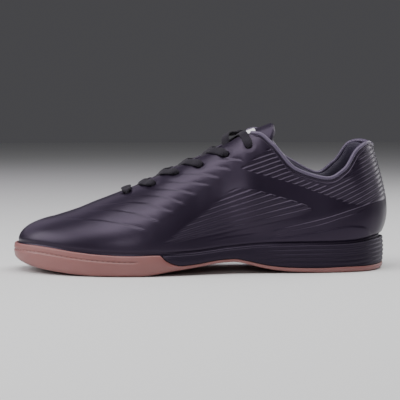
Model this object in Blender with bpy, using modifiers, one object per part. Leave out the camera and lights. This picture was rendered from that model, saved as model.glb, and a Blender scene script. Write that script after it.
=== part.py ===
"""Indoor soccer shoe for the left foot, standing empty on its sole.

A gum rubber outsole rises as a cup round the forefoot. Behind the ball it thins to a
layer under a black midsole. A hollow moulded upper stands in the cup, and holds an
insole, a padded tongue, a padded collar with a round binding, and flat laces.

The toe points along -X, the lateral side faces -Y, and the floor is at Z = 0.
Lengths are in metres.
"""

import math

import bmesh
import bpy
from mathutils import Vector

# Plan of the shoe
SOLE_LENGTH = 0.294
BALL_WIDTH = 0.102
HEEL_WIDTH = 0.072

# Heights above the floor
TOE_HEIGHT = 0.0425
INSTEP_HEIGHT = 0.1065
COLLAR_HEIGHT = 0.0723
HEEL_HEIGHT = 0.0985
MEDIAL_COLLAR_RISE = 0.005
TOE_SPRING = 0.010
ARCH_RISE = 0.0095
HEEL_BEVEL = 0.0008
FOREFOOT_STACK = 0.0083
HEEL_STACK = 0.013
CUP_DEPTH = 0.0082

# Walls and layers
CLEARANCE = 0.0003
UPPER_WALL = 0.0019
OUTSOLE_LAYER = 0.0045
CUP_LIP = 0.0012
CUP_WALL = 0.0026
CUP_DRAFT = 0.0006
EDGE_ROUND = 0.004
GROOVE_DROP = 0.0047
GROOVE_HEIGHT = 0.0012
GROOVE_DEPTH = 0.0009
RIB_DEPTH = 0.0007
LASTING_MARGIN = 0.010
FEATHER_ROUND = 0.0016
INSOLE_THICKNESS = 0.0038
INSOLE_GAP = 0.0006
INSOLE_ROUND = 0.0016
TONGUE_GAP = 0.0012
TONGUE_THICKNESS = 0.0032
TONGUE_PAD = 0.0065
TONGUE_OVERLAP = 0.011
TONGUE_RISE = 0.024
TONGUE_ROOT_ROW = 8.25
TONGUE_ROOT = 0.009
TONGUE_ROOT_SLOPE = 0.36
TONGUE_SLOPE = 0.38
TONGUE_DROOP = 0.20
TONGUE_ROUND = 0.22
COLLAR_PAD = 0.0055
COLLAR_PAD_EDGE = 0.0015
BINDING_RADIUS = 0.0016

# Throat, eyelets and laces
THROAT_HALF = 0.0115
THROAT_ARCH = 0.26
COLLAR_HALF = 0.0275
EYELET_RADIUS = 0.0022
LACE_WIDTH = 0.0066
LACE_THICKNESS = 0.0017
LACE_LIFT = 0.0005
LACE_END_LIFT = 0.0013
LACE_OVER_LIFT = 0.0006
LACE_SAG = 0.0016
LABEL_START = -0.11
LABEL_LENGTH = 0.0115
LABEL_WIDTH = 0.020
LABEL_THICKNESS = 0.0008

# Where each crossing passes the far edge and the near one, as shares of the hole pitch
LACE_ROUTE = ((0.44, 0.66), (0.12, 0.50), (0.12, 0.50), (0.12, 0.50), (0.12, 0.80))

LATERAL, MEDIAL = -1, 1

# Plan of the sole, one row for each station from toe to heel. along is a share of the
# sole's length; lateral and medial are shares of half the width there; centre is where
# the station's spoke meets the middle of the shoe, as a share of the length.
PLAN = (
    # along, lateral, medial, centre
    (0.000, -0.137, 0.137, 0.102),
    (0.004, 0.035, 0.310, 0.104),
    (0.018, 0.208, 0.482, 0.109),
    (0.045, 0.402, 0.637, 0.119),
    (0.085, 0.588, 0.775, 0.139),
    (0.135, 0.755, 0.882, 0.166),
    (0.190, 0.882, 0.951, 0.197),
    (0.238, 0.955, 0.980, 0.238),
    (0.289, 1.000, 0.965, 0.289),
    (0.347, 1.004, 0.902, 0.347),
    (0.418, 0.985, 0.821, 0.418),
    (0.490, 0.965, 0.774, 0.490),
    (0.558, 0.968, 0.773, 0.558),
    (0.622, 0.995, 0.821, 0.622),
    (0.667, 1.010, 0.856, 0.667),
    (0.714, 1.012, 0.893, 0.714),
    (0.776, 1.014, 0.933, 0.776),
    (0.847, 0.986, 0.944, 0.842),
    (0.905, 0.897, 0.883, 0.874),
    (0.949, 0.722, 0.722, 0.890),
    (0.983, 0.417, 0.417, 0.895),
    (1.000, 0.000, 0.000, 0.897),
)
WIDTH_BLEND = (0.34, 0.68)

# Upper edge of the upper, with the same stations: the spine of the vamp up to the
# throat, then the facing's edge, the collar and the heel. along is a share of the
# length and half a share of COLLAR_HALF or, up to the facing's corner, THROAT_HALF.
# The height is toe, instep, collar and heel times those four heights. base and crown
# are the wall's angles in degrees, outwards over the sole and above the level at the
# top edge, and low and high are the lengths of the two tangents, in chords. medial is
# how much higher the collar's medial side is, a share of MEDIAL_COLLAR_RISE.
TOP = (
    # along, half, toe, instep, collar, heel, medial, base, crown, low, high
    (0.095, 0.00, 1.000, 0.000, 0.000, 0.000, 0.0, 2, 15, 0.34, 0.42),
    (0.098, 0.00, 0.997, 0.003, 0.000, 0.000, 0.0, 2, 15, 0.34, 0.42),
    (0.105, 0.00, 0.990, 0.010, 0.000, 0.000, 0.0, 2, 14, 0.34, 0.42),
    (0.122, 0.00, 0.969, 0.031, 0.000, 0.000, 0.0, 3, 12, 0.34, 0.40),
    (0.150, 0.00, 0.930, 0.070, 0.000, 0.000, 0.0, 4, 9, 0.34, 0.39),
    (0.180, 0.00, 0.881, 0.119, 0.000, 0.000, 0.0, 5, 7, 0.34, 0.38),
    (0.219, 0.00, 0.806, 0.194, 0.000, 0.000, 0.0, 6, 5, 0.34, 0.37),
    (0.255, 0.00, 0.744, 0.256, 0.000, 0.000, 0.0, 7, 3, 0.35, 0.36),
    (0.289, 0.00, 0.682, 0.318, 0.000, 0.000, 0.0, 7, 2, 0.35, 0.36),
    (0.347, 0.57, 0.575, 0.425, 0.000, 0.000, 0.0, 5, 12, 0.36, 0.33),
    (0.418, 0.76, 0.420, 0.580, 0.000, 0.000, 0.0, 2, 18, 0.36, 0.30),
    (0.490, 0.89, 0.280, 0.720, 0.000, 0.000, 0.0, -2, 23, 0.36, 0.28),
    (0.558, 1.00, 0.125, 0.875, 0.000, 0.000, 0.0, -4, 30, 0.35, 0.28),
    (0.616, 0.49, 0.000, 1.000, 0.015, 0.000, 0.0, -2, 38, 0.35, 0.28),
    (0.648, 0.66, 0.000, 0.955, 0.070, 0.000, 0.5, 1, 58, 0.34, 0.28),
    (0.685, 0.82, 0.000, 0.715, 0.305, 0.000, 1.1, 4, 68, 0.34, 0.30),
    (0.745, 0.97, 0.000, 0.200, 0.800, 0.000, 1.2, 8, 73, 0.35, 0.32),
    (0.833, 1.01, 0.000, 0.000, 0.990, 0.000, 0.3, 13, 75, 0.36, 0.34),
    (0.884, 0.92, 0.000, 0.000, 0.757, 0.243, 0.8, 20, 76, 0.36, 0.34),
    (0.923, 0.74, 0.000, 0.000, 0.160, 0.840, 0.7, 28, 76, 0.34, 0.34),
    (0.955, 0.41, 0.000, 0.000, 0.000, 1.007, 0.1, 34, 76, 0.33, 0.34),
    (0.974, 0.00, 0.000, 0.000, 0.000, 0.985, 0.0, 36, 75, 0.33, 0.34),
)
SPINE_SHIFT = ((0.0, 0.058), (0.25, 0.025), (0.42, -0.010), (0.60, -0.010), (0.80, 0.0), (1.0, 0.0))
THROAT_ROW = 8
FACING_CORNER_ROW = 13
HEEL_ROW = len(TOP) - 1
MEDIAL_FULLNESS = 0.12

# Heights along the sole, by share of its length. Underside: shares of the toe spring,
# the arch's rise and the heel's bevel.
UNDERSIDE = (
    # along, spring, arch, bevel
    (0.000, 1.00, 0.00, 0.0),
    (0.027, 0.72, 0.00, 0.0),
    (0.050, 0.53, 0.00, 0.0),
    (0.075, 0.40, 0.00, 0.0),
    (0.110, 0.26, 0.00, 0.0),
    (0.155, 0.12, 0.00, 0.0),
    (0.200, 0.03, 0.00, 0.0),
    (0.225, 0.00, 0.00, 0.0),
    (0.335, 0.00, 0.00, 0.0),
    (0.372, 0.00, 0.13, 0.0),
    (0.420, 0.00, 0.38, 0.0),
    (0.490, 0.00, 0.70, 0.0),
    (0.545, 0.00, 0.95, 0.0),
    (0.580, 0.00, 1.00, 0.0),
    (0.618, 0.00, 0.78, 0.0),
    (0.650, 0.00, 0.52, 0.0),
    (0.683, 0.00, 0.31, 0.0),
    (0.730, 0.00, 0.14, 0.0),
    (0.780, 0.00, 0.05, 0.0),
    (0.825, 0.00, 0.00, 0.0),
    (0.935, 0.00, 0.00, 0.0),
    (0.970, 0.00, 0.00, 0.3),
    (1.000, 0.00, 0.00, 1.0),
)
# Floor of the cup: shares of the toe spring, the forefoot's and the heel's stack, and
# the arch's rise.
FLOOR = (
    # along, spring, forefoot, heel, arch
    (0.000, 0.570, 1.00, 0.00, 0.000),
    (0.045, 0.530, 1.00, 0.00, 0.000),
    (0.092, 0.420, 1.00, 0.00, 0.000),
    (0.160, 0.210, 1.00, 0.00, 0.000),
    (0.228, 0.050, 1.00, 0.00, 0.000),
    (0.296, 0.000, 1.00, 0.00, 0.000),
    (0.364, 0.000, 0.85, 0.15, 0.000),
    (0.432, 0.000, 0.50, 0.50, 0.040),
    (0.500, 0.000, 0.25, 0.75, 0.145),
    (0.568, 0.000, 0.05, 0.95, 0.230),
    (0.636, 0.000, 0.00, 1.00, 0.260),
    (0.704, 0.000, 0.00, 1.00, 0.200),
    (0.772, 0.000, 0.00, 1.00, 0.105),
    (0.840, 0.000, 0.00, 1.00, 0.030),
    (0.910, 0.000, 0.00, 1.00, 0.000),
    (1.000, 0.000, 0.00, 1.00, 0.000),
)
# Rim of the cup above its floor, a share of CUP_DEPTH, and the outsole's thickness
# under the midsole, a share of OUTSOLE_LAYER.
RIM_AND_LAYER = (
    # along, rim, layer
    (0.000, 1.00, 1.00),
    (0.078, 1.07, 1.00),
    (0.150, 1.02, 1.00),
    (0.224, 0.99, 1.00),
    (0.296, 0.94, 1.00),
    (0.367, 0.88, 1.00),
    (0.400, 0.74, 0.85),
    (0.440, 0.58, 0.66),
    (0.490, 0.48, 0.52),
    (0.580, 0.56, 0.50),
    (0.673, 0.76, 0.60),
    (0.786, 1.00, 0.80),
    (0.900, 1.18, 1.00),
    (0.970, 1.50, 1.00),
    (1.000, 1.62, 1.00),
)

# Where the midsole's side begins and the outsole's ramp under it ends
RAMP = (0.384, 0.450)
MIDSOLE_FRONT = 0.391
GROOVE_END = (0.27, 0.32)
RIBS = 4
RIB_START = (0.66, 0.74)

# The collar's lining starts at a station; its rises up the wall and its padding there
LINING_START = 15.0
LINING_RISES = (0.42, 0.50, 0.60, 0.70, 0.80, 0.88, 0.94, 0.985)
LINING_PUFF = (0.00, 0.10, 0.38, 0.72, 0.95, 1.00, 0.70, 0.15)

# Lace holes along the facing: share of the length, and distance from the facing's edge
EYELETS = (
    # along, setback
    (0.302, 0.0108),
    (0.370, 0.0088),
    (0.431, 0.0078),
    (0.495, 0.0094),
    (0.562, 0.0104),
    (0.621, 0.0114),
)

COLOURS = {
    # linear red, green, blue, then roughness
    "gum_rubber": (0.32, 0.16, 0.14, 0.55),
    "black_rubber": (0.016, 0.015, 0.020, 0.60),
    "black_synthetic": (0.022, 0.020, 0.028, 0.45),
    "black_lining": (0.014, 0.013, 0.017, 0.85),
    "black_binding": (0.020, 0.018, 0.025, 0.70),
    "black_lace": (0.018, 0.017, 0.022, 0.80),
    "white_label": (0.85, 0.85, 0.85, 0.50),
}


# Interpolation


def monotone(knots, values, at):
    """Value at a place on the smooth curve through knots and values that never overshoots."""
    last = len(knots) - 1
    at = min(max(at, knots[0]), knots[-1])
    i = min(max(j for j in range(last) if knots[j] <= at), last - 1)
    slopes = [(values[j + 1] - values[j]) / (knots[j + 1] - knots[j]) for j in range(last)]

    def tangent(j):
        if j == 0 or j == last:
            return slopes[0] if j == 0 else slopes[-1]
        before, after = slopes[j - 1], slopes[j]
        return 2 * before * after / (before + after) if before * after > 0 else 0.0

    width = knots[i + 1] - knots[i]
    t = (at - knots[i]) / width
    start = (1 + 2 * t) * (1 - t) ** 2 * values[i] + t * (1 - t) ** 2 * width * tangent(i)
    end = t * t * (3 - 2 * t) * values[i + 1] - t * t * (1 - t) * width * tangent(i + 1)
    return start + end


def column(table, number, at):
    """A column of a table whose first column is a share of the length."""
    return monotone([row[0] for row in table], [row[number] for row in table], at)


def row_column(table, number, at):
    """A column of a table of stations, at a station that may lie between two rows."""
    return monotone(range(len(table)), [row[number] for row in table], at)


def eased(at, start, end):
    """0 before start, 1 after end, and a smooth step between."""
    t = min(max((at - start) / (end - start), 0.0), 1.0)
    return t * t * (3 - 2 * t)


def through(points, before, after, at):
    """Point at a station on the round curve through the points of one side."""
    last = len(points) - 1
    i = min(int(at), last - 1)
    t = at - i
    a = points[i - 1] if i > 0 else before
    b, c = points[i], points[i + 1]
    d = points[i + 2] if i + 2 <= last else after
    return 0.5 * (2 * b + (c - a) * t + (2 * a - 5 * b + 4 * c - d) * t**2 + (3 * b - a - 3 * c + d) * t**3)


def along_of(x):
    """Share of the sole's length at an X."""
    return x / SOLE_LENGTH + 0.5


def x_of(along):
    return (along - 0.5) * SOLE_LENGTH


# The sole's plan and heights


def half_width(along):
    blend = eased(along, *WIDTH_BLEND)
    return 0.5 * (BALL_WIDTH + (HEEL_WIDTH - BALL_WIDTH) * blend)


def plan_points(side):
    number = 1 if side == LATERAL else 2
    return [Vector((x_of(row[0]), side * row[number] * half_width(row[0]), 0)) for row in PLAN]


SIDES = {side: plan_points(side) for side in (LATERAL, MEDIAL)}


def outline(side, row):
    """The sole's outline in plan, at a station."""
    mine, other = SIDES[side], SIDES[-side]
    return through(mine, other[1], other[-2], row)


def centre(row):
    """Where the two spokes of a station meet in the middle of the shoe."""
    middle = 0.5 * (outline(LATERAL, row).y + outline(MEDIAL, row).y)
    return Vector((x_of(row_column(PLAN, 3, row)), middle, 0))


def inset(side, row, depth):
    """The outline moved inwards along its spoke."""
    edge = outline(side, row)
    spoke = centre(row) - edge
    return edge + spoke * min(depth / spoke.length, 1.0)


def underside(x):
    along = along_of(x)
    spring, arch, bevel = (column(UNDERSIDE, number, along) for number in (1, 2, 3))
    return spring * TOE_SPRING + arch * ARCH_RISE + bevel * HEEL_BEVEL


def floor_height(x):
    along = along_of(x)
    spring, forefoot, heel, arch = (column(FLOOR, number, along) for number in (1, 2, 3, 4))
    return spring * TOE_SPRING + forefoot * FOREFOOT_STACK + heel * HEEL_STACK + arch * ARCH_RISE


def rim_height(x):
    return floor_height(x) + CUP_DEPTH * column(RIM_AND_LAYER, 1, along_of(x))


def layer_height(x):
    """Top of the outsole's thin layer."""
    return underside(x) + OUTSOLE_LAYER * column(RIM_AND_LAYER, 2, along_of(x))


def gum_rim_height(x):
    """Top of the outsole at its edge: the cup's rim, a ramp, then the thin layer."""
    share = (along_of(x) - RAMP[0]) / (RAMP[1] - RAMP[0])
    share = min(max(share, 0.0), 1.0)
    fall = 1 - (1 - share) ** 2
    return rim_height(x) * (1 - fall) + layer_height(x) * fall


def station_at(along):
    """The station whose outline is at a share of the length."""
    low, high = 0.0, float(len(PLAN) - 1)
    for _ in range(40):
        middle = 0.5 * (low + high)
        low, high = (middle, high) if along_of(outline(LATERAL, middle).x) < along else (low, middle)
    return low


# The last: the upper's outer surface


def spine(along):
    return BALL_WIDTH * column(SPINE_SHIFT, 1, along)


def top_edge(side, row):
    """The spine, the facing's edge or the collar, at a station."""
    along = row_column(TOP, 0, row)
    sizes = (TOE_HEIGHT, INSTEP_HEIGHT, COLLAR_HEIGHT, HEEL_HEIGHT)
    height = sum(size * row_column(TOP, 2 + i, row) for i, size in enumerate(sizes))
    if side == MEDIAL:
        height += MEDIAL_COLLAR_RISE * row_column(TOP, 6, row)
    return Vector((x_of(along), spine(along) + side * opening(row), height))


def opening(row):
    """Half the throat's or collar's width at a station."""
    if row <= THROAT_ROW:
        return 0.0
    halves = [
        line[1] * (THROAT_HALF if i < FACING_CORNER_ROW else COLLAR_HALF)
        for i, line in enumerate(TOP)
    ]
    if row < THROAT_ROW + 1:
        return halves[THROAT_ROW + 1] * math.sqrt(row - THROAT_ROW)
    return monotone(range(len(TOP)), halves, row)


def last(side, row, v):
    """A point of the upper's outer surface: v is 0 at the cup's rim and 1 at the top edge."""
    foot = inset(side, row, CUP_WALL + CLEARANCE)
    foot.z = rim_height(outline(side, row).x)
    top = top_edge(side, row)
    inwards = Vector((top.x - foot.x, top.y - foot.y, 0))
    inwards.normalize()
    base, crown, low, high = (row_column(TOP, number, row) for number in (7, 8, 9, 10))
    base, crown = math.radians(base), math.radians(crown)
    if side == MEDIAL:
        high *= 1 + MEDIAL_FULLNESS * math.sin(math.pi * row / HEEL_ROW)
    chord = (top - foot).length
    up = Vector((0, 0, 1))
    near_foot = foot + chord * low * (up * math.cos(base) - inwards * math.sin(base))
    near_top = top - chord * high * (inwards * math.cos(crown) + up * math.sin(crown))
    w = 1 - v
    return w**3 * foot + 3 * w * w * v * near_foot + 3 * w * v * v * near_top + v**3 * top


def outwards(side, row, v):
    """The last's normal, pointing out of the shoe."""
    step = 0.02
    low_row, high_row = max(row - step, 0.0), min(row + step, float(HEEL_ROW))
    across = last(side, high_row, v) - last(side, low_row, v)
    if row < step:
        across = last(MEDIAL, step, v) - last(LATERAL, step, v)
        across *= side
    if row > HEEL_ROW - step:
        across = last(LATERAL, HEEL_ROW - step, v) - last(MEDIAL, HEEL_ROW - step, v)
        across *= side
    upwards = last(side, row, min(v + step, 1.0)) - last(side, row, max(v - step, 0.0))
    return (across.cross(upwards) * -side).normalized()


def under_last(side, row, v, depth):
    """A point at a depth under the last's surface."""
    return last(side, row, v) - depth * outwards(side, row, v)


# Building meshes


def finish(mesh_object, material):
    """Gives an object its material and smooth shading."""
    mesh_object.data.materials.append(MATERIALS[material])
    mesh_object.data.shade_smooth()
    mesh_object.data.set_sharp_from_angle(angle=math.radians(35))
    return mesh_object


def new_object(name, mesh, collection, material=None):
    made = bpy.data.objects.new(name, mesh)
    collection.objects.link(made)
    return finish(made, material) if material else made


def mesh_from(name, bm):
    mesh = bpy.data.meshes.new(name)
    bm.to_mesh(mesh)
    bm.free()
    return mesh


def loft(name, sections, caps=(False, False)):
    """A closed skin over sections of equal count, whose first or last may be capped."""
    bm = bmesh.new()
    rings = [[bm.verts.new(point) for point in section] for section in sections]
    for ring, after in zip(rings, rings[1:]):
        for i in range(len(ring)):
            j = (i + 1) % len(ring)
            bm.faces.new((ring[i], ring[j], after[j], after[i]))
    if caps[0]:
        bm.faces.new(rings[0])
    if caps[1]:
        bm.faces.new(list(reversed(rings[-1])))
    bmesh.ops.remove_doubles(bm, verts=bm.verts, dist=1e-6)
    bmesh.ops.dissolve_degenerate(bm, edges=bm.edges, dist=1e-7)
    bmesh.ops.triangulate(bm, faces=bm.faces, quad_method="SHORT_EDGE")
    bmesh.ops.recalc_face_normals(bm, faces=bm.faces)
    return mesh_from(name, bm)


def both_sides(profile, row):
    """A whole section: the lateral profile out from the middle, then the medial one back."""
    lateral, medial = profile(LATERAL, row), profile(MEDIAL, row)
    return lateral + list(reversed(medial))


def stations(start, end, count):
    return [start + (end - start) * i / count for i in range(count + 1)]


# Outsole and midsole


def at_height(point, height):
    return Vector((point.x, point.y, height))


def gum_profile(side, row, floor_of):
    """Half a section of the outsole: underside, side with its groove, rim, cup wall, floor."""
    edge = outline(side, row)
    rim = gum_rim_height(edge.x)
    round_edge = min(EDGE_ROUND, 0.7 * (rim - underside(edge.x)))
    points = [at_height(centre(row), underside(centre(row).x))]
    for depth, rise in ((1.0, 0.0), (0.42, 0.20), (0.08, 0.65)):
        place = inset(side, row, depth * round_edge)
        points.append(at_height(place, underside(place.x) + rise * round_edge))
    wall = rim - points[-1].z
    along = along_of(edge.x)
    groove = GROOVE_DEPTH * (1 - eased(along, *GROOVE_END))
    middle = max(1 - GROOVE_DROP / wall, 0.5)
    half = min(0.5 * GROOVE_HEIGHT / wall, 0.1)
    for share, depth in ((0.6 * middle, 0), (middle - half, 0.1), (middle, 1), (middle + half, 0.1)):
        points.append(at_height(inset(side, row, depth * groove), points[3].z + share * wall))
    lip = min(CUP_LIP, 0.3 * wall)
    points.append(at_height(inset(side, row, 0.2 * CUP_LIP), rim - lip))
    points.append(at_height(inset(side, row, CUP_LIP), rim))
    points.append(at_height(inset(side, row, CUP_WALL), rim))
    foot = inset(side, row, CUP_WALL + CUP_DRAFT)
    points.append(at_height(foot, floor_of(foot.x)))
    points.append(at_height(centre(row), floor_of(centre(row).x)))
    return points


def rear_rows():
    """Stations from the midsole's front end to the heel."""
    front = station_at(MIDSOLE_FRONT)
    return stations(front, 12, 7)[:-1] + stations(12, 17, 5)[:-1] + stations(17, HEEL_ROW, 12)


def build_outsole():
    step = station_at(MIDSOLE_FRONT - 1.5 * CLEARANCE / SOLE_LENGTH)
    front = stations(0, step, 17)
    back = [step + 0.01] + rear_rows()
    sections = [both_sides(lambda s, r: gum_profile(s, r, floor_height), row) for row in front]
    sections += [both_sides(lambda s, r: gum_profile(s, r, layer_height), row) for row in back]
    return new_object("outsole", loft("outsole", sections), PARTS, "gum_rubber")


def midsole_profile(side, row):
    """Half a section of the midsole: bottom, ribbed side, rim, cup wall and floor."""
    edge = outline(side, row)
    along = along_of(edge.x)
    foot = inset(side, row, CUP_WALL + CUP_DRAFT)
    points = [
        at_height(centre(row), layer_height(centre(row).x) + CLEARANCE),
        at_height(foot, layer_height(foot.x) + CLEARANCE),
        at_height(inset(side, row, CUP_WALL), gum_rim_height(edge.x) + CLEARANCE),
        at_height(inset(side, row, 0.2 * CUP_LIP), gum_rim_height(edge.x) + CLEARANCE),
    ]
    bottom, rim = points[-1].z, rim_height(edge.x)
    lip = min(CUP_LIP, 0.4 * (rim - bottom))
    rib = RIB_DEPTH * eased(along, *RIB_START)
    for i in range(2 * RIBS + 1):
        share = (i + 1) / (2 * RIBS + 2)
        depth = 0.0 if i % 2 == 0 else rib
        points.append(at_height(inset(side, row, depth), bottom + share * (rim - lip - bottom)))
    points.append(at_height(inset(side, row, 0.2 * CUP_LIP), rim - lip))
    points.append(at_height(inset(side, row, CUP_LIP), rim))
    points.append(at_height(inset(side, row, CUP_WALL), rim))
    points.append(at_height(foot, floor_height(foot.x)))
    points.append(at_height(centre(row), floor_height(centre(row).x)))
    return points


def build_midsole():
    sections = [both_sides(midsole_profile, row) for row in rear_rows()]
    return new_object("midsole", loft("midsole", sections, (True, False)), PARTS, "black_rubber")


# Upper


def upper_profile(side, row, rises):
    """The upper's outer surface in one spoke: lasting margin, feather edge, wall and top."""
    edge = outline(side, row)
    feather = CUP_WALL + CUP_DRAFT + CLEARANCE
    turn = 0.35 * (rim_height(edge.x) - floor_height(edge.x))
    points = []
    for depth, rise in ((LASTING_MARGIN, 0.0), (FEATHER_ROUND, 0.0), (0.2 * FEATHER_ROUND, 0.35), (0.0, 1.0)):
        place = inset(side, row, feather + depth)
        points.append(at_height(place, floor_height(place.x) + CLEARANCE + rise * turn))
    return points + [last(side, row, v) for v in rises]


def upper_rows():
    """Stations of the upper's mesh, closer together where its edges curve most."""
    rows = stations(0, THROAT_ROW, 11)
    rows += [THROAT_ROW + share for share in (0.12, 0.35, 0.65)]
    rows += stations(THROAT_ROW + 1, FACING_CORNER_ROW, 6)
    rows += stations(FACING_CORNER_ROW, 18, 12)[1:-1]
    return rows + stations(18, HEEL_ROW, 8)


def upper_surface(name, rows, rises):
    """The upper's outer surface as an open mesh, closed along the toe, heel and spine."""
    bm = bmesh.new()
    for side in (LATERAL, MEDIAL):
        lines = [[bm.verts.new(p) for p in upper_profile(side, row, rises)] for row in rows]
        for line, after in zip(lines, lines[1:]):
            for i in range(len(line) - 1):
                corners = (line[i], after[i], after[i + 1], line[i + 1])
                bm.faces.new(corners if side == LATERAL else tuple(reversed(corners)))
    bmesh.ops.remove_doubles(bm, verts=bm.verts, dist=1e-6)
    return mesh_from(name, bm)


def eyelet_place(side, along, setback):
    """Centre and outward normal of an eyelet, set back from the facing's edge."""
    low, high = float(THROAT_ROW), float(FACING_CORNER_ROW + 1)
    for _ in range(30):
        row = 0.5 * (low + high)
        low, high = (row, high) if row_column(TOP, 0, row) < along else (low, row)
    middle = Vector((x_of(along), spine(along), 0))
    v, place = 1.0, last(side, row, 1.0)
    walked = opening(row) * eased(row, THROAT_ROW + 1, THROAT_ROW) if row < THROAT_ROW + 1 else 0.0
    while walked < setback and abs(place.y - middle.y) < BALL_WIDTH:
        v -= 0.004
        after = last(side, row, v)
        walked += (after - place).length
        place = after
    return place, outwards(side, row, v), row, v


def cutter(name, place, direction, radius, depth):
    """A cylinder through the upper's wall, hidden and kept with the cutters."""
    bm = bmesh.new()
    bmesh.ops.create_cone(bm, cap_ends=True, segments=12, radius1=radius, radius2=radius, depth=depth)
    made = new_object(name, mesh_from(name, bm), CUTTERS)
    made.location = place
    made.rotation_euler = direction.to_track_quat("Z", "Y").to_euler()
    made.hide_render = True
    made.display_type = "WIRE"
    return made


def build_upper():
    mesh = upper_surface("upper", upper_rows(), [i / 7 for i in range(8)])
    made = new_object("upper", mesh, PARTS, "black_synthetic")
    wall = made.modifiers.new("wall", "SOLIDIFY")
    wall.thickness = UPPER_WALL
    wall.offset = -1
    wall.use_even_offset = True
    for side in (LATERAL, MEDIAL):
        for number, (along, setback) in enumerate(EYELETS, 1):
            place, direction, _, _ = eyelet_place(side, along, setback)
            name = f"eyelet_cutter_{number}_{'lateral' if side == LATERAL else 'medial'}"
            hole = made.modifiers.new(name, "BOOLEAN")
            hole.operation = "DIFFERENCE"
            hole.object = cutter(name, place, direction, EYELET_RADIUS, 5 * UPPER_WALL)
    return made


# Insole, tongue and label


def insole_profile(side, row):
    """Half a section of the insole, which steps down between the lasting margins."""
    wall = CUP_WALL + CUP_DRAFT + 2 * CLEARANCE + UPPER_WALL + INSOLE_GAP
    step = CUP_WALL + CUP_DRAFT + CLEARANCE + LASTING_MARGIN + INSOLE_GAP
    over_margin = UPPER_WALL + 2.5 * CLEARANCE
    points = [at_height(centre(row), floor_height(centre(row).x) + CLEARANCE)]
    for depth, rise in (
        (step + INSOLE_GAP, CLEARANCE),
        (step, over_margin),
        (wall, over_margin),
        (wall, over_margin + 0.6 * INSOLE_THICKNESS),
        (wall + INSOLE_ROUND, over_margin + INSOLE_THICKNESS),
    ):
        place = inset(side, row, depth)
        points.append(at_height(place, floor_height(place.x) + rise))
    points.append(at_height(centre(row), floor_height(centre(row).x) + over_margin + INSOLE_THICKNESS))
    return points


def build_insole():
    sections = [both_sides(insole_profile, row) for row in stations(0, HEEL_ROW, 26)]
    return new_object("insole", loft("insole", sections), PARTS, "black_lining")


# The throat: a surface that carries on from facing to facing


def saddle(row, s, lift):
    """A point above the upper and its throat: s is -1 and 1 at the facing's two edges.

    Between the edges the surface arches from one facing to the other. Past them s - 1
    counts shares of the wall's height down the outside.
    """
    side = MEDIAL if s > 0 else LATERAL
    if abs(s) >= 1:
        v = 1 - (abs(s) - 1)
        return last(side, row, v) + lift * outwards(side, row, v)
    ends = [last(each, row, 1.0) for each in (LATERAL, MEDIAL)]
    slopes = [(last(each, row, 1.0) - last(each, row, 0.985)).normalized() for each in (LATERAL, MEDIAL)]
    reach = THROAT_ARCH * (ends[1] - ends[0]).length
    controls = (ends[0], ends[0] + reach * slopes[0], ends[1] + reach * slopes[1], ends[1])
    t = 0.5 * (s + 1)
    w = 1 - t
    shares = (w**3, 3 * w * w * t, 3 * w * t * t, t**3)
    place = sum((share * point for share, point in zip(shares, controls)), Vector())
    tangents = (-3 * w * w, 3 * w * w - 6 * w * t, 6 * w * t - 3 * t * t, 3 * t * t)
    across = sum((share * point for share, point in zip(tangents, controls)), Vector())
    ahead = last(LATERAL, row + 0.05, 1.0) + last(MEDIAL, row + 0.05, 1.0)
    ahead -= last(LATERAL, row - 0.05, 1.0) + last(MEDIAL, row - 0.05, 1.0)
    return place + lift * ahead.cross(across).normalized()


def walk_down(side, row, distance):
    """The height share v reached after walking down from the facing's edge."""
    v, walked, place = 1.0, 0.0, last(side, row, 1.0)
    while walked < distance:
        v -= 0.004
        after = last(side, row, v)
        walked += (after - place).length
        place = after
    return v


# Tongue and label


def tongue_point(at, s, depth):
    """A point under the tongue's top: at is a station, or runs past the facing's corner
    by shares of the tongue's rise, and s is -1 and 1 at the tongue's two edges."""
    row = min(max(at, TONGUE_ROOT_ROW), float(FACING_CORNER_ROW))
    side = MEDIAL if s > 0 else LATERAL
    lap = 1 - walk_down(side, row, TONGUE_OVERLAP)
    share = opening(row) / (opening(row) + TONGUE_OVERLAP)
    if abs(s) <= share:
        reach = abs(s) / share
    else:
        reach = 1 + lap * (abs(s) - share) / (1 - share)
    place = saddle(row, math.copysign(max(reach, 1e-6), s), -depth)
    past = max(at - FACING_CORNER_ROW, 0.0)
    run = TONGUE_RISE * past * (1 - TONGUE_ROUND * abs(s) ** 3)
    root = TONGUE_ROOT * max(TONGUE_ROOT_ROW - at, 0.0)
    slope = TONGUE_SLOPE - TONGUE_DROOP * s * s
    return place + Vector((run - root, 0, run * slope - root * TONGUE_ROOT_SLOPE))


def tongue_thickness(at):
    pad = eased(at, FACING_CORNER_ROW - 3.0, FACING_CORNER_ROW - 0.5)
    return TONGUE_THICKNESS + (TONGUE_PAD - TONGUE_THICKNESS) * pad


def build_tongue():
    top = UPPER_WALL + TONGUE_GAP
    sections = []
    ats = [TONGUE_ROOT_ROW - 1] + stations(TONGUE_ROOT_ROW, FACING_CORNER_ROW, 11)
    ats += [FACING_CORNER_ROW + past for past in (0.3, 0.55, 0.8, 0.93, 1.0)]
    for at in ats:
        thick = tongue_thickness(at)
        shrink = 0.35 if at in (ats[0], ats[-1]) else 0.0
        outer = [tongue_point(at, s / 6, top + shrink * thick) for s in range(-6, 7)]
        inner = [tongue_point(at, s / 6, top + (1 - shrink) * thick) for s in range(-6, 7)]
        sections.append(outer + list(reversed(inner)))
    return new_object("tongue", loft("tongue", sections, (True, True)), PARTS, "black_synthetic")


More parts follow.
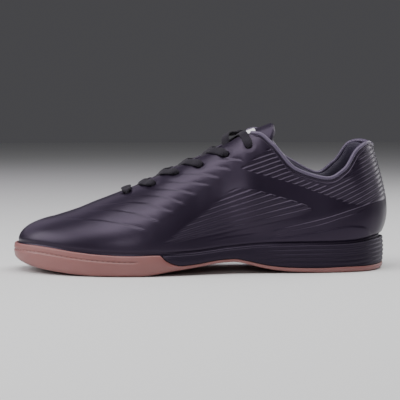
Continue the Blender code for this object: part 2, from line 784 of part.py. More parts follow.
def build_label():
    """A blank cloth label near the tongue's end."""
    under = UPPER_WALL + TONGUE_GAP - CLEARANCE
    half = LABEL_WIDTH / (2 * (opening(FACING_CORNER_ROW) + TONGUE_OVERLAP))
    sections = []
    for past in stations(LABEL_START, LABEL_START + LABEL_LENGTH / TONGUE_RISE, 3):
        at = FACING_CORNER_ROW + past
        low = [tongue_point(at, half * s / 3, under) for s in range(-3, 4)]
        high = [tongue_point(at, half * s / 3, under - LABEL_THICKNESS) for s in range(-3, 4)]
        sections.append(high + list(reversed(low)))
    return new_object("tongue_label", loft("label", sections, (True, True)), PARTS, "white_label")


# Padded collar and its binding


def both_ways(start):
    """The upper's stations past a start, from the lateral side round the heel to the medial."""
    rows = [row for row in upper_rows() if row >= start]
    return [(LATERAL, row) for row in rows] + [(MEDIAL, row) for row in reversed(rows[:-1])]


def build_collar_lining():
    sections = []
    for side, row in both_ways(LINING_START):
        grown = eased(row, LINING_START, LINING_START + 1.5)
        wall = UPPER_WALL + 1.5 * CLEARANCE
        outer = [under_last(side, row, v, wall) for v in LINING_RISES]
        inner = []
        for i, v in enumerate(LINING_RISES):
            puff = LINING_PUFF[i] * (0.2 + 0.8 * grown)
            inner.append(under_last(side, row, v, wall + COLLAR_PAD_EDGE + puff * COLLAR_PAD))
        sections.append(outer + list(reversed(inner)))
    mesh = loft("collar_lining", sections, (True, True))
    return new_object("collar_lining", mesh, PARTS, "black_lining")


def build_binding():
    """The round bead along the collar's edge, as a tube of round sections."""
    places = []
    for side, row in both_ways(FACING_CORNER_ROW + 0.3):
        forward = last(side, min(row + 0.05, float(HEEL_ROW)), 1.0) - last(side, row - 0.05, 1.0)
        rise = outwards(side, row, 1.0).cross(forward).normalized() * -side
        middle = last(side, row, 1.0) - 0.5 * UPPER_WALL * outwards(side, row, 1.0)
        places.append(middle + rise * (BINDING_RADIUS + 1.5 * CLEARANCE))
    sections = []
    for i, place in enumerate(places):
        before, after = places[max(i - 1, 0)], places[min(i + 1, len(places) - 1)]
        forward = (after - before).normalized()
        level = forward.cross(Vector((0, 0, 1))).normalized()
        rise = level.cross(forward).normalized()
        angles = [math.tau * j / 6 for j in range(6)]
        sections.append([place + BINDING_RADIUS * (level * math.cos(a) + rise * math.sin(a)) for a in angles])
    mesh = loft("topline_binding", sections, (True, True))
    return new_object("topline_binding", mesh, PARTS, "black_binding")


# Laces


def lace_strip(name, stops, counts, collection, lift=0.0):
    """A flat strip over the throat through (station, s) stops, with its steps between them."""
    path = [stops[0]]
    for start, end, count in zip(stops, stops[1:], counts):
        for i in range(1, count + 1):
            t = i / count
            path.append((start[0] + (end[0] - start[0]) * t, start[1] + (end[1] - start[1]) * t))
    sections = []
    for i, (row, s) in enumerate(path):
        middle = LACE_LIFT + 0.5 * LACE_THICKNESS + lift + LACE_END_LIFT * eased(abs(s), 0.70, 0.95)
        middle -= LACE_SAG * opening(row) / THROAT_HALF * max(1 - s * s, 0) ** 2
        before, after = path[max(i - 1, 0)], path[min(i + 1, len(path) - 1)]
        forward = (saddle(*after, middle) - saddle(*before, middle)).normalized()
        up = (saddle(row, s, middle + 0.001) - saddle(row, s, middle)).normalized()
        wide = forward.cross(up).normalized() * 0.5 * LACE_WIDTH
        thick = up * 0.5 * LACE_THICKNESS
        place = saddle(row, s, middle)
        corners = ((-1, -1), (-0.9, 1), (0.9, 1), (1, -1))
        sections.append([place + a * wide + b * thick for a, b in corners])
    mesh = loft(name, sections, (True, True))
    return new_object(name, mesh, collection, "black_lace" if collection == PARTS else None)


def lace_ends():
    """Stations of the lace holes and, at each side, their s on the saddle."""
    ends = []
    for along, setback in EYELETS:
        spots = [eyelet_place(side, along, setback) for side in (LATERAL, MEDIAL)]
        ends.append((spots[0][2], -1 - (1 - spots[0][3]), 1 + (1 - spots[1][3])))
    return ends


def build_laces():
    ends = lace_ends()
    row, near, far = ends[0]
    lace_strip("lace_bar_1", [(row, near), (row, far)], [10], PARTS, LACE_OVER_LIFT)
    for number in range(1, len(ends)):
        row, near, far = ends[number]
        before = ends[number - 1][0]
        start, edge = (before + share * (row - before) for share in LACE_ROUTE[number - 1])
        stops = [(row, near), (edge, -1.0), (start, 0.86)]
        first = lace_strip(f"lace_cross_{number + 1}", stops, [2, 6], PARTS)
        stops = [(row, far), (edge, 1.0), (start, -0.86)]
        second = lace_strip(f"lace_under_{number + 1}", stops, [2, 6], CUTTERS, LACE_OVER_LIFT)
        second.hide_render = True
        second.display_type = "WIRE"
        join = first.modifiers.new("cross", "BOOLEAN")
        join.operation = "UNION"
        join.object = second


def build_all():
    build_outsole()
    build_midsole()
    build_upper()
    build_insole()
    build_tongue()
    build_label()
    build_collar_lining()
    build_binding()
    build_laces()


def centre_on_origin():
    """Moves everything so that the middle of the shoe's bounding box is over the origin."""
    bpy.context.view_layer.update()
    depsgraph = bpy.context.evaluated_depsgraph_get()
    corners = [Vector(corner) for part in PARTS.objects for corner in part.evaluated_get(depsgraph).bound_box]
    middle = [0.5 * (min(c[i] for c in corners) + max(c[i] for c in corners)) for i in range(2)]
    carrier = bpy.data.objects.new("shoe", None)
    bpy.context.scene.collection.objects.link(carrier)
    for made in list(PARTS.objects) + list(CUTTERS.objects):
        made.parent = carrier
    carrier.location = (-middle[0], -middle[1], 0)


def new_collection(name):
    made = bpy.data.collections.new(name)
    bpy.context.scene.collection.children.link(made)
    return made


def new_material(name, red, green, blue, roughness):
    made = bpy.data.materials.new(name)
    made.use_nodes = True
    shader = made.node_tree.nodes["Principled BSDF"]
    shader.inputs["Base Color"].default_value = (red, green, blue, 1)
    shader.inputs["Roughness"].default_value = roughness
    return made


for old in list(bpy.data.objects):
    bpy.data.objects.remove(old)
PARTS = new_collection("indoor_soccer_shoe")
CUTTERS = new_collection("cutters")
MATERIALS = {name: new_material(name, *values) for name, values in COLOURS.items()}
build_all()
centre_on_origin()
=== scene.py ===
"""Indoor soccer shoe for the left foot: black ribbed synthetic upper on a gum rubber sole.

The toe points along -X and the lateral side faces -Y. Lengths are in metres.
"""

import math

import bmesh
import bpy
import numpy as np
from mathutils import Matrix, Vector


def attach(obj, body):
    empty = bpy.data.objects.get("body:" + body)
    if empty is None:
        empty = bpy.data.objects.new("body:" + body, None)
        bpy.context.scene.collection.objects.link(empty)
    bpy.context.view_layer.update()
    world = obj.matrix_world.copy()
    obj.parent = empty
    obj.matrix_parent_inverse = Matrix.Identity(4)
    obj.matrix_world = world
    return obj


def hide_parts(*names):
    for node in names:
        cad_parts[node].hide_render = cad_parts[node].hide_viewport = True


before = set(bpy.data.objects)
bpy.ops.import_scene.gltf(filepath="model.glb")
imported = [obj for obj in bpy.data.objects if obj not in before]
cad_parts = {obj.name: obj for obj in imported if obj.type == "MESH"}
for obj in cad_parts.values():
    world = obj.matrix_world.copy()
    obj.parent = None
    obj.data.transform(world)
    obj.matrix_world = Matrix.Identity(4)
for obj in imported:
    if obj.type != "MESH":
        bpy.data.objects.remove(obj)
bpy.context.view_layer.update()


# Camera, light and floor: a studio shot from the lateral side, a little above a pale
# floor. A very large soft box hangs over the shoe and a strong one stands before the toe.
# Smaller ones lift the front, the side, the back and the heel.

CAMERA_AZIMUTH = math.radians(-4.5)
CAMERA_ELEVATION = math.radians(4.2)
CAMERA_DISTANCE = 1.15
CAMERA_TARGET = Vector((-0.0016, 0.0007, 0.055))
FRAME_WIDTH = 0.318
SENSOR_WIDTH = 36.0
ROOM_GLOW = 0.09
FLOOR_HALF = 3.0


def put(name, data):
    """A new object in the scene, at the origin."""
    made = bpy.data.objects.new(name, data)
    bpy.context.scene.collection.objects.link(made)
    return made


camera_data = bpy.data.cameras.new("camera")
camera_data.sensor_width = SENSOR_WIDTH
camera_data.lens = SENSOR_WIDTH * CAMERA_DISTANCE / FRAME_WIDTH
camera_data.clip_start = 0.01
camera = put("camera", camera_data)
camera_back = Vector((
    math.sin(CAMERA_AZIMUTH) * math.cos(CAMERA_ELEVATION),
    -math.cos(CAMERA_AZIMUTH) * math.cos(CAMERA_ELEVATION),
    math.sin(CAMERA_ELEVATION),
))
camera.location = CAMERA_TARGET + CAMERA_DISTANCE * camera_back
camera.rotation_euler = camera_back.to_track_quat("Z", "Y").to_euler()
bpy.context.scene.camera = camera


def linear(hex_colour):
    """An sRGB hex colour as linear red, green, blue and alpha."""
    parts = [int(hex_colour[i : i + 2], 16) / 255 for i in (0, 2, 4)]
    return tuple(c / 12.92 if c <= 0.04045 else ((c + 0.055) / 1.055) ** 2.4 for c in parts) + (1.0,)


def softbox(name, place, target, width, height, power, tint="ffffff"):
    """A rectangular area light aimed at a target."""
    data = bpy.data.lights.new(name, "AREA")
    data.shape = "RECTANGLE"
    data.size = width
    data.size_y = height
    data.energy = power
    data.color = linear(tint)[:3]
    light = put(name, data)
    light.location = place
    light.rotation_euler = (Vector(place) - Vector(target)).to_track_quat("Z", "Y").to_euler()


softbox("top_light", (0.08, -0.16, 1.03), (0.0, 0.0, 0.05), 1.6, 0.95, 15.5)
softbox("front_light", (-0.36, -0.58, 1.05), (0.0, 0.0, 0.05), 0.55, 0.36, 2.4)
softbox("side_light", (-0.24, -1.32, 0.50), (0.0, 0.0, 0.05), 0.38, 0.28, 2.4)
softbox("key_light", (-1.08, -0.14, 0.66), (-0.08, 0.0, 0.04), 1.0, 0.75, 10.0)
softbox("back_light", (-0.80, 0.95, 0.80), (-0.05, 0.0, 0.04), 1.2, 0.70, 2.2, "dccce8")
softbox("heel_light", (0.90, 0.40, 0.45), (0.12, 0.0, 0.06), 0.70, 0.60, 4.5)


def new_material(name, colour, roughness, others=None):
    """A material whose shader has a base colour, a roughness and any other inputs' values."""
    material = bpy.data.materials.new(name)
    material.use_nodes = True
    shader = material.node_tree.nodes["Principled BSDF"]
    shader.inputs["Base Color"].default_value = linear(colour)
    shader.inputs["Roughness"].default_value = roughness
    for socket, value in (others or {}).items():
        shader.inputs[socket].default_value = value
    return material


world = bpy.data.worlds.new("studio")
world.use_nodes = True
world.node_tree.nodes["Background"].inputs["Color"].default_value = linear("e4e3ea")
world.node_tree.nodes["Background"].inputs["Strength"].default_value = ROOM_GLOW
bpy.context.scene.world = world

floor_bmesh = bmesh.new()
bmesh.ops.create_grid(floor_bmesh, x_segments=2, y_segments=2, size=FLOOR_HALF)
floor_mesh = bpy.data.meshes.new("floor")
floor_bmesh.to_mesh(floor_mesh)
floor_bmesh.free()
floor_mesh.materials.append(new_material("studio_floor", "dcdcdc", 0.75))
put("floor", floor_mesh)


# Outsole: one moulding of translucent gum rubber. It cups the forefoot, where a row of
# stitches in a groove holds it to the upper, and thins to a layer under arch and heel.

SOLE_LENGTH = 0.294
BALL_WIDTH = 0.102
HEEL_WIDTH = 0.072
SOLE_MIDDLE = (-0.00163, 0.00071)
TOE_SPRING = 0.010
ARCH_RISE = 0.0095
HEEL_BEVEL = 0.0008
FOREFOOT_STACK = 0.0083
HEEL_STACK = 0.013
CUP_DEPTH = 0.0082
OUTSOLE_LAYER = 0.0045
CUP_LIP = 0.0012
CUP_WALL = 0.0026
CUP_DRAFT = 0.0006
EDGE_ROUND = 0.004
GROOVE_DROP = 0.0047
GROOVE_DEPTH = 0.0011
GROOVE_WIDTH = 0.0011
GROOVE_END = (0.315, 0.325)
RAMP = (0.384, 0.450)
TREAD_PITCH = 0.0062
TREAD_DEPTH = 0.0009
CLEARANCE = 0.0003
LAST_ROW = 21
WIDTH_BLEND = (0.34, 0.68)
CUP_BELLY = 0.0004
EDGE_DROP = 0.0001

# The sole's plan: share of the length, lateral and medial half widths, spoke's centre
PLAN = np.array((
    (0.000, -0.137, 0.137, 0.102),
    (0.004, 0.035, 0.310, 0.104),
    (0.018, 0.208, 0.482, 0.109),
    (0.045, 0.402, 0.637, 0.119),
    (0.085, 0.588, 0.775, 0.139),
    (0.135, 0.755, 0.882, 0.166),
    (0.190, 0.882, 0.951, 0.197),
    (0.238, 0.955, 0.980, 0.238),
    (0.289, 1.000, 0.965, 0.289),
    (0.347, 1.004, 0.902, 0.347),
    (0.418, 0.985, 0.821, 0.418),
    (0.490, 0.965, 0.774, 0.490),
    (0.558, 0.968, 0.773, 0.558),
    (0.622, 0.995, 0.821, 0.622),
    (0.667, 1.010, 0.856, 0.667),
    (0.714, 1.012, 0.893, 0.714),
    (0.776, 1.014, 0.933, 0.776),
    (0.847, 0.986, 0.944, 0.842),
    (0.905, 0.897, 0.883, 0.874),
    (0.949, 0.722, 0.722, 0.890),
    (0.983, 0.417, 0.417, 0.895),
    (1.000, 0.000, 0.000, 0.897),
))
# Underside: share of the length, toe spring, arch and heel bevel
UNDERSIDE = np.array((
    (0.000, 1.00, 0.00, 0.0),
    (0.027, 0.72, 0.00, 0.0),
    (0.050, 0.53, 0.00, 0.0),
    (0.075, 0.40, 0.00, 0.0),
    (0.110, 0.26, 0.00, 0.0),
    (0.155, 0.12, 0.00, 0.0),
    (0.200, 0.03, 0.00, 0.0),
    (0.225, 0.00, 0.00, 0.0),
    (0.335, 0.00, 0.00, 0.0),
    (0.372, 0.00, 0.13, 0.0),
    (0.420, 0.00, 0.38, 0.0),
    (0.490, 0.00, 0.70, 0.0),
    (0.545, 0.00, 0.95, 0.0),
    (0.580, 0.00, 1.00, 0.0),
    (0.618, 0.00, 0.78, 0.0),
    (0.650, 0.00, 0.52, 0.0),
    (0.683, 0.00, 0.31, 0.0),
    (0.730, 0.00, 0.14, 0.0),
    (0.780, 0.00, 0.05, 0.0),
    (0.825, 0.00, 0.00, 0.0),
    (0.935, 0.00, 0.00, 0.0),
    (0.970, 0.00, 0.00, 0.3),
    (1.000, 0.00, 0.00, 1.0),
))
# Floor of the cup: share of the length, toe spring, forefoot's and heel's stack, arch rise
CUP_FLOOR = np.array((
    (0.000, 0.570, 1.00, 0.00, 0.000),
    (0.045, 0.530, 1.00, 0.00, 0.000),
    (0.092, 0.420, 1.00, 0.00, 0.000),
    (0.160, 0.210, 1.00, 0.00, 0.000),
    (0.228, 0.050, 1.00, 0.00, 0.000),
    (0.296, 0.000, 1.00, 0.00, 0.000),
    (0.364, 0.000, 0.85, 0.15, 0.000),
    (0.432, 0.000, 0.50, 0.50, 0.040),
    (0.500, 0.000, 0.25, 0.75, 0.145),
    (0.568, 0.000, 0.05, 0.95, 0.230),
    (0.636, 0.000, 0.00, 1.00, 0.260),
    (0.704, 0.000, 0.00, 1.00, 0.200),
    (0.772, 0.000, 0.00, 1.00, 0.105),
    (0.840, 0.000, 0.00, 1.00, 0.030),
    (0.910, 0.000, 0.00, 1.00, 0.000),
    (1.000, 0.000, 0.00, 1.00, 0.000),
))
# Share of the length, the cup's rim and the thin layer
RIM_AND_LAYER = np.array((
    (0.000, 1.00, 1.00),
    (0.078, 1.07, 1.00),
    (0.150, 1.02, 1.00),
    (0.224, 0.99, 1.00),
    (0.296, 0.94, 1.00),
    (0.367, 0.88, 1.00),
    (0.400, 0.74, 0.85),
    (0.440, 0.58, 0.66),
    (0.490, 0.48, 0.52),
    (0.580, 0.56, 0.50),
    (0.673, 0.76, 0.60),
    (0.786, 1.00, 0.80),
    (0.900, 1.18, 1.00),
    (0.970, 1.50, 1.00),
    (1.000, 1.62, 1.00),
))


def hermite(knots, values, slopes, at):
    """The cubic curve through values with given slopes at its knots, at many places."""
    i = np.clip(np.searchsorted(knots, at, side="right") - 1, 0, len(knots) - 2)
    width = knots[i + 1] - knots[i]
    t = (at - knots[i]) / width
    if values.ndim > 1:
        width, t = width[:, None], t[:, None]
    start = (1 + 2 * t) * (1 - t) ** 2 * values[i] + t * (1 - t) ** 2 * width * slopes[i]
    return start + t * t * (3 - 2 * t) * values[i + 1] - t * t * (1 - t) * width * slopes[i + 1]


def curve(knots, values, at):
    """The smooth curve through knots and values that never overshoots, at many places."""
    knots, values = np.asarray(knots, float), np.asarray(values, float)
    slopes = np.diff(values) / np.diff(knots)
    product = slopes[:-1] * slopes[1:]
    total = np.where(product > 0, slopes[:-1] + slopes[1:], 1)
    inner = np.where(product > 0, 2 * product / total, 0)
    tangents = np.concatenate((slopes[:1], inner, slopes[-1:]))
    return hermite(knots, values, tangents, np.clip(at, knots[0], knots[-1]))


def column(table, number, at):
    """A table's column at shares of the length, which its first column holds."""
    return curve(table[:, 0], table[:, number], at)


def row_column(table, number, row):
    """A table's column at stations, which count its rows."""
    return curve(np.arange(len(table)), table[:, number], row)


def eased(at, start, end):
    """0 before start, 1 after end, and a smooth step between."""
    t = np.clip((at - start) / (end - start), 0, 1)
    return t * t * (3 - 2 * t)


def x_of(along):
    return (along - 0.5) * SOLE_LENGTH + SOLE_MIDDLE[0]


def along_of(x):
    return (x - SOLE_MIDDLE[0]) / SOLE_LENGTH + 0.5


def plan_side(side):
    """The plan's points on one side: -1 is lateral and 1 is medial."""
    blend = eased(PLAN[:, 0], *WIDTH_BLEND)
    half = 0.5 * (BALL_WIDTH + (HEEL_WIDTH - BALL_WIDTH) * blend)
    shares = PLAN[:, 1] if side < 0 else PLAN[:, 2]
    return np.stack((x_of(PLAN[:, 0]), side * shares * half + SOLE_MIDDLE[1]), 1)


def round_curve(points, before, after, at):
    """The round curve through one side's points, at many stations."""
    ring = np.vstack((before, points, after))
    i = np.clip(at.astype(int), 0, len(points) - 2)
    t = (at - i)[..., None]
    a, b, c, d = (ring[i + k] for k in range(4))
    bend = (2 * a - 5 * b + 4 * c - d) * t**2 + (3 * b - a - 3 * c + d) * t**3
    return 0.5 * (2 * b + (c - a) * t + bend)


def one_side(side, row):
    mine, other = plan_side(side), plan_side(-side)
    return round_curve(mine, other[1], other[-2], row)


def fold(q):
    """Side and station of a place on the way round: 0 is the toe, 21 the heel, 42 the toe."""
    q = np.mod(q, 2 * LAST_ROW)
    return np.where(q < LAST_ROW, -1.0, 1.0), LAST_ROW - np.abs(q - LAST_ROW)


def outline(q):
    """The sole's outline in plan, and the spoke's centre, as points at height 0."""
    side, row = fold(np.asarray(q, float))
    both = [one_side(each, row) for each in (-1, 1)]
    edge = np.where(side[..., None] < 0, both[0], both[1])
    middle = np.stack((x_of(row_column(PLAN, 3, row)), 0.5 * (both[0][..., 1] + both[1][..., 1])), -1)
    level = np.zeros(edge.shape[:-1] + (1,))
    return np.concatenate((edge, level), -1), np.concatenate((middle, level), -1)


def inset(q, depth):
    """The outline moved inwards along its spokes."""
    edge, middle = outline(q)
    spoke = middle - edge
    length = np.linalg.norm(spoke, axis=-1, keepdims=True)
    depth = np.broadcast_to(depth, length.shape[:-1])[..., None]
    return edge + spoke * np.minimum(depth / length, 1)


def at_height(points, height):
    raised = np.array(points)
    raised[..., 2] = height
    return raised


def underside(x):
    spring, arch, bevel = (column(UNDERSIDE, i, along_of(x)) for i in (1, 2, 3))
    return spring * TOE_SPRING + arch * ARCH_RISE + bevel * HEEL_BEVEL


def cup_floor(x):
    spring, forefoot, heel, arch = (column(CUP_FLOOR, i, along_of(x)) for i in (1, 2, 3, 4))
    return spring * TOE_SPRING + forefoot * FOREFOOT_STACK + heel * HEEL_STACK + arch * ARCH_RISE


def rim_height(x):
    return cup_floor(x) + CUP_DEPTH * column(RIM_AND_LAYER, 1, along_of(x))


def layer_height(x):
    return underside(x) + OUTSOLE_LAYER * column(RIM_AND_LAYER, 2, along_of(x))


def gum_rim(x):
    """Top of the gum at its edge: the cup's rim, a ramp, then the thin layer."""
    share = np.clip((along_of(x) - RAMP[0]) / (RAMP[1] - RAMP[0]), 0, 1)
    fall = 1 - (1 - share) ** 2
    return rim_height(x) * (1 - fall) + layer_height(x) * fall


def walked(points):
    """The distance walked along a line of points, at each of them."""
    return np.concatenate(((0,), np.cumsum(np.linalg.norm(np.diff(points, axis=0), axis=1))))


def way_round(count, density=None):
    """Places on the way round, the same on both sides. They are evenly spaced along the
    outline, or closer together where the density, a function of the station, is higher."""
    rows = np.linspace(0, LAST_ROW, 421)
    paces = sum(np.linalg.norm(np.diff(one_side(side, rows), axis=0), axis=1) for side in (-1, 1))
    if density:
        paces = paces * density(rows[1:])
    reached = np.concatenate(((0,), np.cumsum(paces)))
    half = np.interp(np.linspace(0, reached[-1], count // 2 + 1), reached, rows)
    return np.concatenate((half, 2 * LAST_ROW - half[-2::-1]))


def sheet(name, places, material, turn=False):
    """A grid whose vertices are moved to places, an array of lines of points. Its UV map
    counts metres along the middle line and metres across."""
    lines, count = places.shape[:2]
    bm = bmesh.new()
    bmesh.ops.create_grid(bm, x_segments=count - 1, y_segments=lines - 1, size=0.5, calc_uvs=True)
    mesh = bpy.data.meshes.new(name)
    bm.loops.layers.uv.new("metres")
    bm.to_mesh(mesh)
    bm.clear()
    flat = np.empty(3 * len(mesh.vertices))
    mesh.vertices.foreach_get("co", flat)
    flat = flat.reshape(-1, 3) + 0.5
    i = np.rint(flat[:, 0] * (count - 1)).astype(int)
    j = np.rint(flat[:, 1] * (lines - 1)).astype(int)
    mesh.vertices.foreach_set("co", places[j, i].ravel())
    size = (walked(places[lines // 2])[-1], walked(places[:, count // 2])[-1])
    corners = np.empty(len(mesh.loops), int)
    mesh.loops.foreach_get("vertex_index", corners)
    mesh.uv_layers["metres"].data.foreach_set("uv", (flat[corners, :2] * size).ravel())
    bm.from_mesh(mesh)
    bmesh.ops.remove_doubles(bm, verts=bm.verts, dist=2e-5)
    bmesh.ops.dissolve_degenerate(bm, edges=bm.edges, dist=1e-6)
    bmesh.ops.recalc_face_normals(bm, faces=bm.faces)
    if turn:
        bmesh.ops.reverse_faces(bm, faces=bm.faces)
    bm.to_mesh(mesh)
    bm.free()
    mesh.materials.append(material)
    mesh.shade_smooth()
    return put(name, mesh)


def declare(piece, slot, *nodes):
    """The piece rides on the shoe's one body and stands for CAD nodes, which are hidden. The slot is
    not used.
    """
    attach(piece, "root")
    if nodes:
        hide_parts(*nodes)


def tread(points):
    """Depth of the fine diamond tread on the underside."""
    x, y = points[..., 0], points[..., 1]
    first = np.abs(np.mod((x + 0.55 * y) / TREAD_PITCH, 1) - 0.5)
    second = np.abs(np.mod((x - 0.55 * y) / TREAD_PITCH, 1) - 0.5)
    return TREAD_DEPTH * eased(np.minimum(first, second), 0.16, 0.06)


def round_lip(q, rim, lip, degrees):
    """Lines over a rim's round edge, and the line at the inside of its wall."""
    lines = []
    for turn in np.radians(degrees):
        place = inset(q, lip * (1 - math.cos(turn)))
        lines.append(at_height(place, rim - lip * (1 - math.sin(turn))))
    lines.append(at_height(inset(q, CUP_WALL), rim - EDGE_DROP))
    return lines


def gum_lines(q):
    """Lines round the outsole, from the middle of the underside over the rim to the cup's
    floor. The sole has no hard edges: each corner is a short curve."""
    edge, middle = outline(q)
    rim = gum_rim(edge[:, 0])
    corner = np.minimum(EDGE_ROUND, 0.7 * (rim - underside(edge[:, 0])))
    lines = []
    reach = np.linalg.norm(middle - edge, axis=1)
    for share in np.linspace(1, 0, 34):
        place = inset(q, corner + share * (reach - corner))
        rise = tread(place) * eased(share * reach, 0.0, 0.004) * eased(1 - share, 0.0, 0.03)
        lines.append(at_height(place, underside(place[:, 0]) + rise))
    for turn in np.radians((18, 36, 54, 72, 90)):
        place = inset(q, corner * (1 - math.sin(turn)))
        lines.append(at_height(place, underside(place[:, 0]) + corner * (1 - math.cos(turn)) * 0.85))
    foot = lines[-1][:, 2]
    lip = np.minimum(CUP_LIP, 0.3 * (rim - foot))
    groove = GROOVE_DEPTH * (1 - eased(along_of(edge[:, 0]), *GROOVE_END))
    groove_height = rim - GROOVE_DROP
    for share in np.linspace(0.05, 1, 22):
        height = foot + share * (rim - lip - foot)
        dip = groove * np.exp(-(((height - groove_height) / (0.5 * GROOVE_WIDTH)) ** 2))
        belly = CUP_BELLY * np.sin(math.pi * share) * (rim - foot) / CUP_DEPTH
        lines.append(at_height(inset(q, dip - belly), height))
    lines += round_lip(q, rim, lip, (20, 45, 70, 90))
    deep = inset(q, CUP_WALL + CUP_DRAFT)
    in_cup = along_of(deep[:, 0]) < RAMP[0]
    for place in (deep, middle):
        inside = np.where(in_cup, cup_floor(place[:, 0]), layer_height(place[:, 0]))
        lines.append(at_height(place, np.minimum(inside, rim)))
    return np.array(lines)


def add(material, kind, links=None, **settings):
    """Adds a shader node with its settings. links gives each input a value or another
    node's output; kind is the node's type without its prefix."""
    made = material.node_tree.nodes.new("ShaderNode" + kind)
    for name, value in settings.items():
        setattr(made, name, value)
    for socket, value in (links or {}).items():
        if isinstance(value, bpy.types.NodeSocket):
            material.node_tree.links.new(value, made.inputs[socket])
        else:
            made.inputs[socket].default_value = value
    return made


def surface(material, socket, output):
    """Links a node's output to the material's shader."""
    shader = material.node_tree.nodes["Principled BSDF"]
    material.node_tree.links.new(output, shader.inputs[socket])


def grain(material, kind, height, scale, strength, depth, others=None, space="Object", **settings):
    """Gives the material a fine bump from a texture's output, and returns the texture."""
    place = add(material, "TexCoord")
    inputs = {"Vector": place.outputs[space], "Scale": scale, **(others or {})}
    texture = add(material, "Tex" + kind, inputs, **settings)
    inputs = {"Height": texture.outputs[height], "Strength": strength, "Distance": depth}
    surface(material, "Normal", add(material, "Bump", inputs).outputs["Normal"])
    return texture


def clouds(material, scale, detail, dark, light):
    """Mottles the material's colour between two tones, and returns the noise."""
    place = add(material, "TexCoord")
    inputs = {"Vector": place.outputs["Object"], "Scale": scale, "Detail": detail}
    noise = add(material, "TexNoise", inputs)
    tones = {"Factor": noise.outputs["Fac"], "A": linear(dark), "B": linear(light)}
    surface(material, "Base Color", add(material, "Mix", tones, data_type="RGBA").outputs["Result"])
    return noise


# Gum rubber, compression moulded: warm pink-tan, slightly cloudy, with a dull sheen
cloudiness = {"IOR": 1.52, "Subsurface Weight": 0.08, "Subsurface Scale": 0.004}
gum = new_material("gum_rubber", "8b5a56", 0.42, cloudiness)
clouds(gum, 38.0, 3.0, "7d504e", "8f605d")
grain(gum, "Noise", "Fac", 2200.0, 0.12, 0.0002, {"Detail": 2.0})

outsole = sheet("gum_outsole", gum_lines(way_round(560)), gum)
declare(outsole, "gum_rubber", "outsole")


# Groove stitching: waxed thread in a lockstitch, sewn through the cup into the upper. In
# the photograph the thread is near the gum's own colour and only its shadow gaps show.

STITCH_LENGTH = 0.0042
STITCH_RADIUS = 0.00042
STITCH_SUNK = 0.0006
STITCH_SHOWS = 0.76
STITCHES_STOP = GROOVE_END[0] - 0.002

thread = new_material("waxed_thread", "a8736c", 0.6, {"Sheen Weight": 0.3})
grain(thread, "Wave", "Fac", 900.0, 0.4, 0.0002, {"Distortion": 0.5})

groove_q = way_round(2400)
groove_height = gum_rim(outline(groove_q)[0][:, 0]) - GROOVE_DROP
groove_points = at_height(inset(groove_q, STITCH_SUNK), groove_height)
groove_share = along_of(groove_points[:, 0])
stitch_bmesh = bmesh.new()
for half in (groove_q <= LAST_ROW, groove_q >= LAST_ROW):
    run = groove_points[half & (groove_share < STITCHES_STOP)]
    reached = walked(run)
    for start in np.arange(0.5 * STITCH_LENGTH, reached[-1] - STITCH_LENGTH, STITCH_LENGTH):
        first, second = (
            Vector([np.interp(at, reached, run[:, k]) for k in range(3)])
            for at in (start, start + STITCH_SHOWS * STITCH_LENGTH)
        )
        stitch = bmesh.ops.create_uvsphere(stitch_bmesh, u_segments=6, v_segments=5, radius=1.0)
        lengths = Vector((STITCH_RADIUS, STITCH_RADIUS, 0.5 * (second - first).length))
        bmesh.ops.scale(stitch_bmesh, vec=lengths, verts=stitch["verts"])
        turn = (second - first).to_track_quat("Z", "Y").to_matrix()
        bmesh.ops.rotate(stitch_bmesh, matrix=turn, verts=stitch["verts"])
        bmesh.ops.translate(stitch_bmesh, vec=0.5 * (first + second), verts=stitch["verts"])
stitch_mesh = bpy.data.meshes.new("groove_stitches")
stitch_bmesh.to_mesh(stitch_mesh)
stitch_bmesh.free()
stitch_mesh.materials.append(thread)
stitch_mesh.shade_smooth()
declare(put("groove_stitches", stitch_mesh), "gum_rubber")


# Midsole: black rubber, moulded as one carrier that holds arch and heel. Its side has
# fine horizontal steps that deepen towards the heel; the pebbled patch at the back is not modelled,
# only a fine grain all over.

MIDSOLE_FRONT = 0.391
STEP_PITCH = 0.0034
STEP_DEPTH = 0.0007
STEP_START = (0.60, 0.74)
FIRST_STEP_DROP = 0.0012
CARRIER_BELLY = 0.0006
CARRIER_FOOT = 0.0009


def midsole_lines(q):
    """Lines round the carrier, from the gum layer up its stepped side to the cup's floor."""
    edge, middle = outline(q)
    low = gum_rim(edge[:, 0]) + CLEARANCE
    rim = rim_height(edge[:, 0])
    lip = np.minimum(CUP_LIP, 0.4 * (rim - low))
    step_depth = STEP_DEPTH * eased(along_of(edge[:, 0]), *STEP_START)
    foot = inset(q, CUP_WALL + CUP_DRAFT)
    lines = [at_height(place, layer_height(place[:, 0]) + CLEARANCE) for place in (middle, foot)]
    lines.append(at_height(inset(q, CARRIER_FOOT), low))
    for share in np.linspace(0.02, 1, 40):
        height = low + share * (rim - lip - low)
        down = (rim - FIRST_STEP_DROP - height) / STEP_PITCH
        wave = np.clip(1.6 * np.abs(np.mod(down, 1) - 0.5) - 0.05, 0, 0.5) * 2
        fade = eased(share, 0.0, 0.08) * eased(down, 0.1, 0.6)
        dip = step_depth * (1 - wave) * fade + CLEARANCE * (1 - eased(share, 0, 0.06))
        lines.append(at_height(inset(q, dip - CARRIER_BELLY * math.sin(math.pi * share)), height))
    lines += round_lip(q, rim, lip, (25, 50, 75, 90))
    lines += [at_height(place, cup_floor(place[:, 0])) for place in (foot, middle)]
    return np.array(lines)


def station_at(along):
    """The station whose outline is at a share of the length."""
    rows = np.linspace(0, LAST_ROW, 2101)
    return float(np.interp(along, along_of(one_side(-1, rows)[:, 0]), rows))


